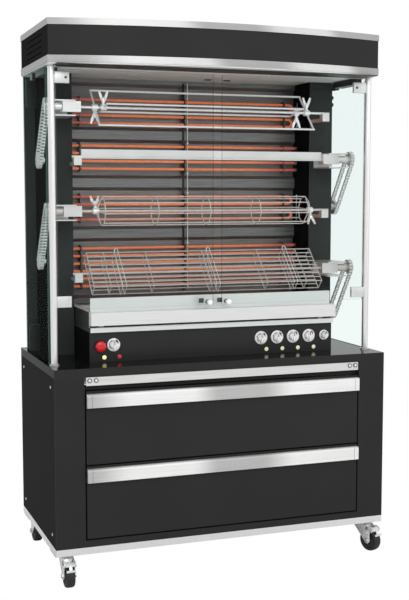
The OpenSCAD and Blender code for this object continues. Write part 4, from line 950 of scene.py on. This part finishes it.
def makeCasters():
    for name, (sx, sy, turn) in caster["places"].items():
        spot = (sx * caster["swivelX"], sy * caster["swivelY"], 0)
        braked = name.startswith("front")
        fork, wheel = "caster_" + name, "wheel_" + name
        finished([placed(makeFork(braked), spot, (0, 0, turn))], "fork_" + name, fork, [fork])
        finished([placed(makeWheel(), spot, (0, 0, turn))], "castorWheel_" + name, wheel, [wheel])
        if braked:
            pedal = "brake_pedal_" + name[len("front_"):]
            finished([placed(makeLever(), spot, (0, 0, turn))], "lever_" + name, pedal, [pedal])


makeCasters()
print("casters done")


camera = {"place": (-1.34908, -3.77558, 1.30066), "yaw": 19.9136, "pitch": 5.5164, "lens": 66.62}
studio = {"key": 60, "fill": 14, "rim": 12, "ambient": 0.8}


def makeCamera():
    data = bpy.data.cameras.new("camera")
    data.lens = camera["lens"]
    data.clip_end = 60
    eye = bpy.data.objects.new("camera", data)
    scene.collection.objects.link(eye)
    eye.location = camera["place"]
    eye.rotation_euler = (math.radians(90 - camera["pitch"]), 0, math.radians(-camera["yaw"]))
    scene.camera = eye


def makeLamp(name, place, target, size, power):
    data = bpy.data.lights.new(name, "AREA")
    data.shape = "RECTANGLE"
    data.size, data.size_y = size
    data.energy = power
    lamp = bpy.data.objects.new(name, data)
    scene.collection.objects.link(lamp)
    lamp.location = place
    lamp.rotation_euler = (Vector(target) - Vector(place)).to_track_quat("-Z", "Y").to_euler()


def seenDirectly(tree):
    # 1 for rays from the camera, also through glass, 0 for the light that bounces
    rays = addNode(tree, "ShaderNodeLightPath")
    return addNode(tree, "ShaderNodeMath", {"operation": "MAXIMUM"},
                   {0: rays.outputs["Is Camera Ray"], 1: rays.outputs["Is Transmission Ray"]}).outputs[0]


def makeStage():
    world = bpy.data.worlds.new("studio")
    scene.world = world
    world.use_nodes = True
    tree = world.node_tree
    background = tree.nodes["Background"]
    white = addNode(tree, "ShaderNodeMix", {"data_type": "FLOAT", 2: studio["ambient"], 3: 1.0},
                    {0: seenDirectly(tree)})
    tree.links.new(white.outputs[0], background.inputs["Strength"])
    background.inputs["Color"].default_value = (1, 1, 1, 1)

    bpy.ops.mesh.primitive_plane_add(size=30, location=(0, 0, 0))
    floor = bpy.context.object
    floor.name = "floor"
    material, tree, shader = startMaterial("paleFloor")
    setShader(shader, Base_Color=srgb("#f0f0f0"), Roughness=0.8)
    sweep = addNode(tree, "ShaderNodeEmission", {"Strength": 1.0})
    both = addNode(tree, "ShaderNodeMixShader", None,
                   {0: seenDirectly(tree), 1: shader.outputs[0], 2: sweep.outputs[0]})
    tree.links.new(both.outputs[0], tree.nodes["Material Output"].inputs["Surface"])
    floor.data.materials.append(material)


makeStage()
makeLamp("key", (-0.6, -4.4, 3.2), (0, 0, 1.0), (2.6, 2.0), studio["key"])
makeLamp("fill", (3.2, -3.2, 2.2), (0, 0, 1.0), (2.0, 2.6), studio["fill"])
makeLamp("rim", (0.5, 2.8, 3.2), (0, 0, 1.2), (2.6, 1.6), studio["rim"])
makeCamera()
print("stage, light and camera done")
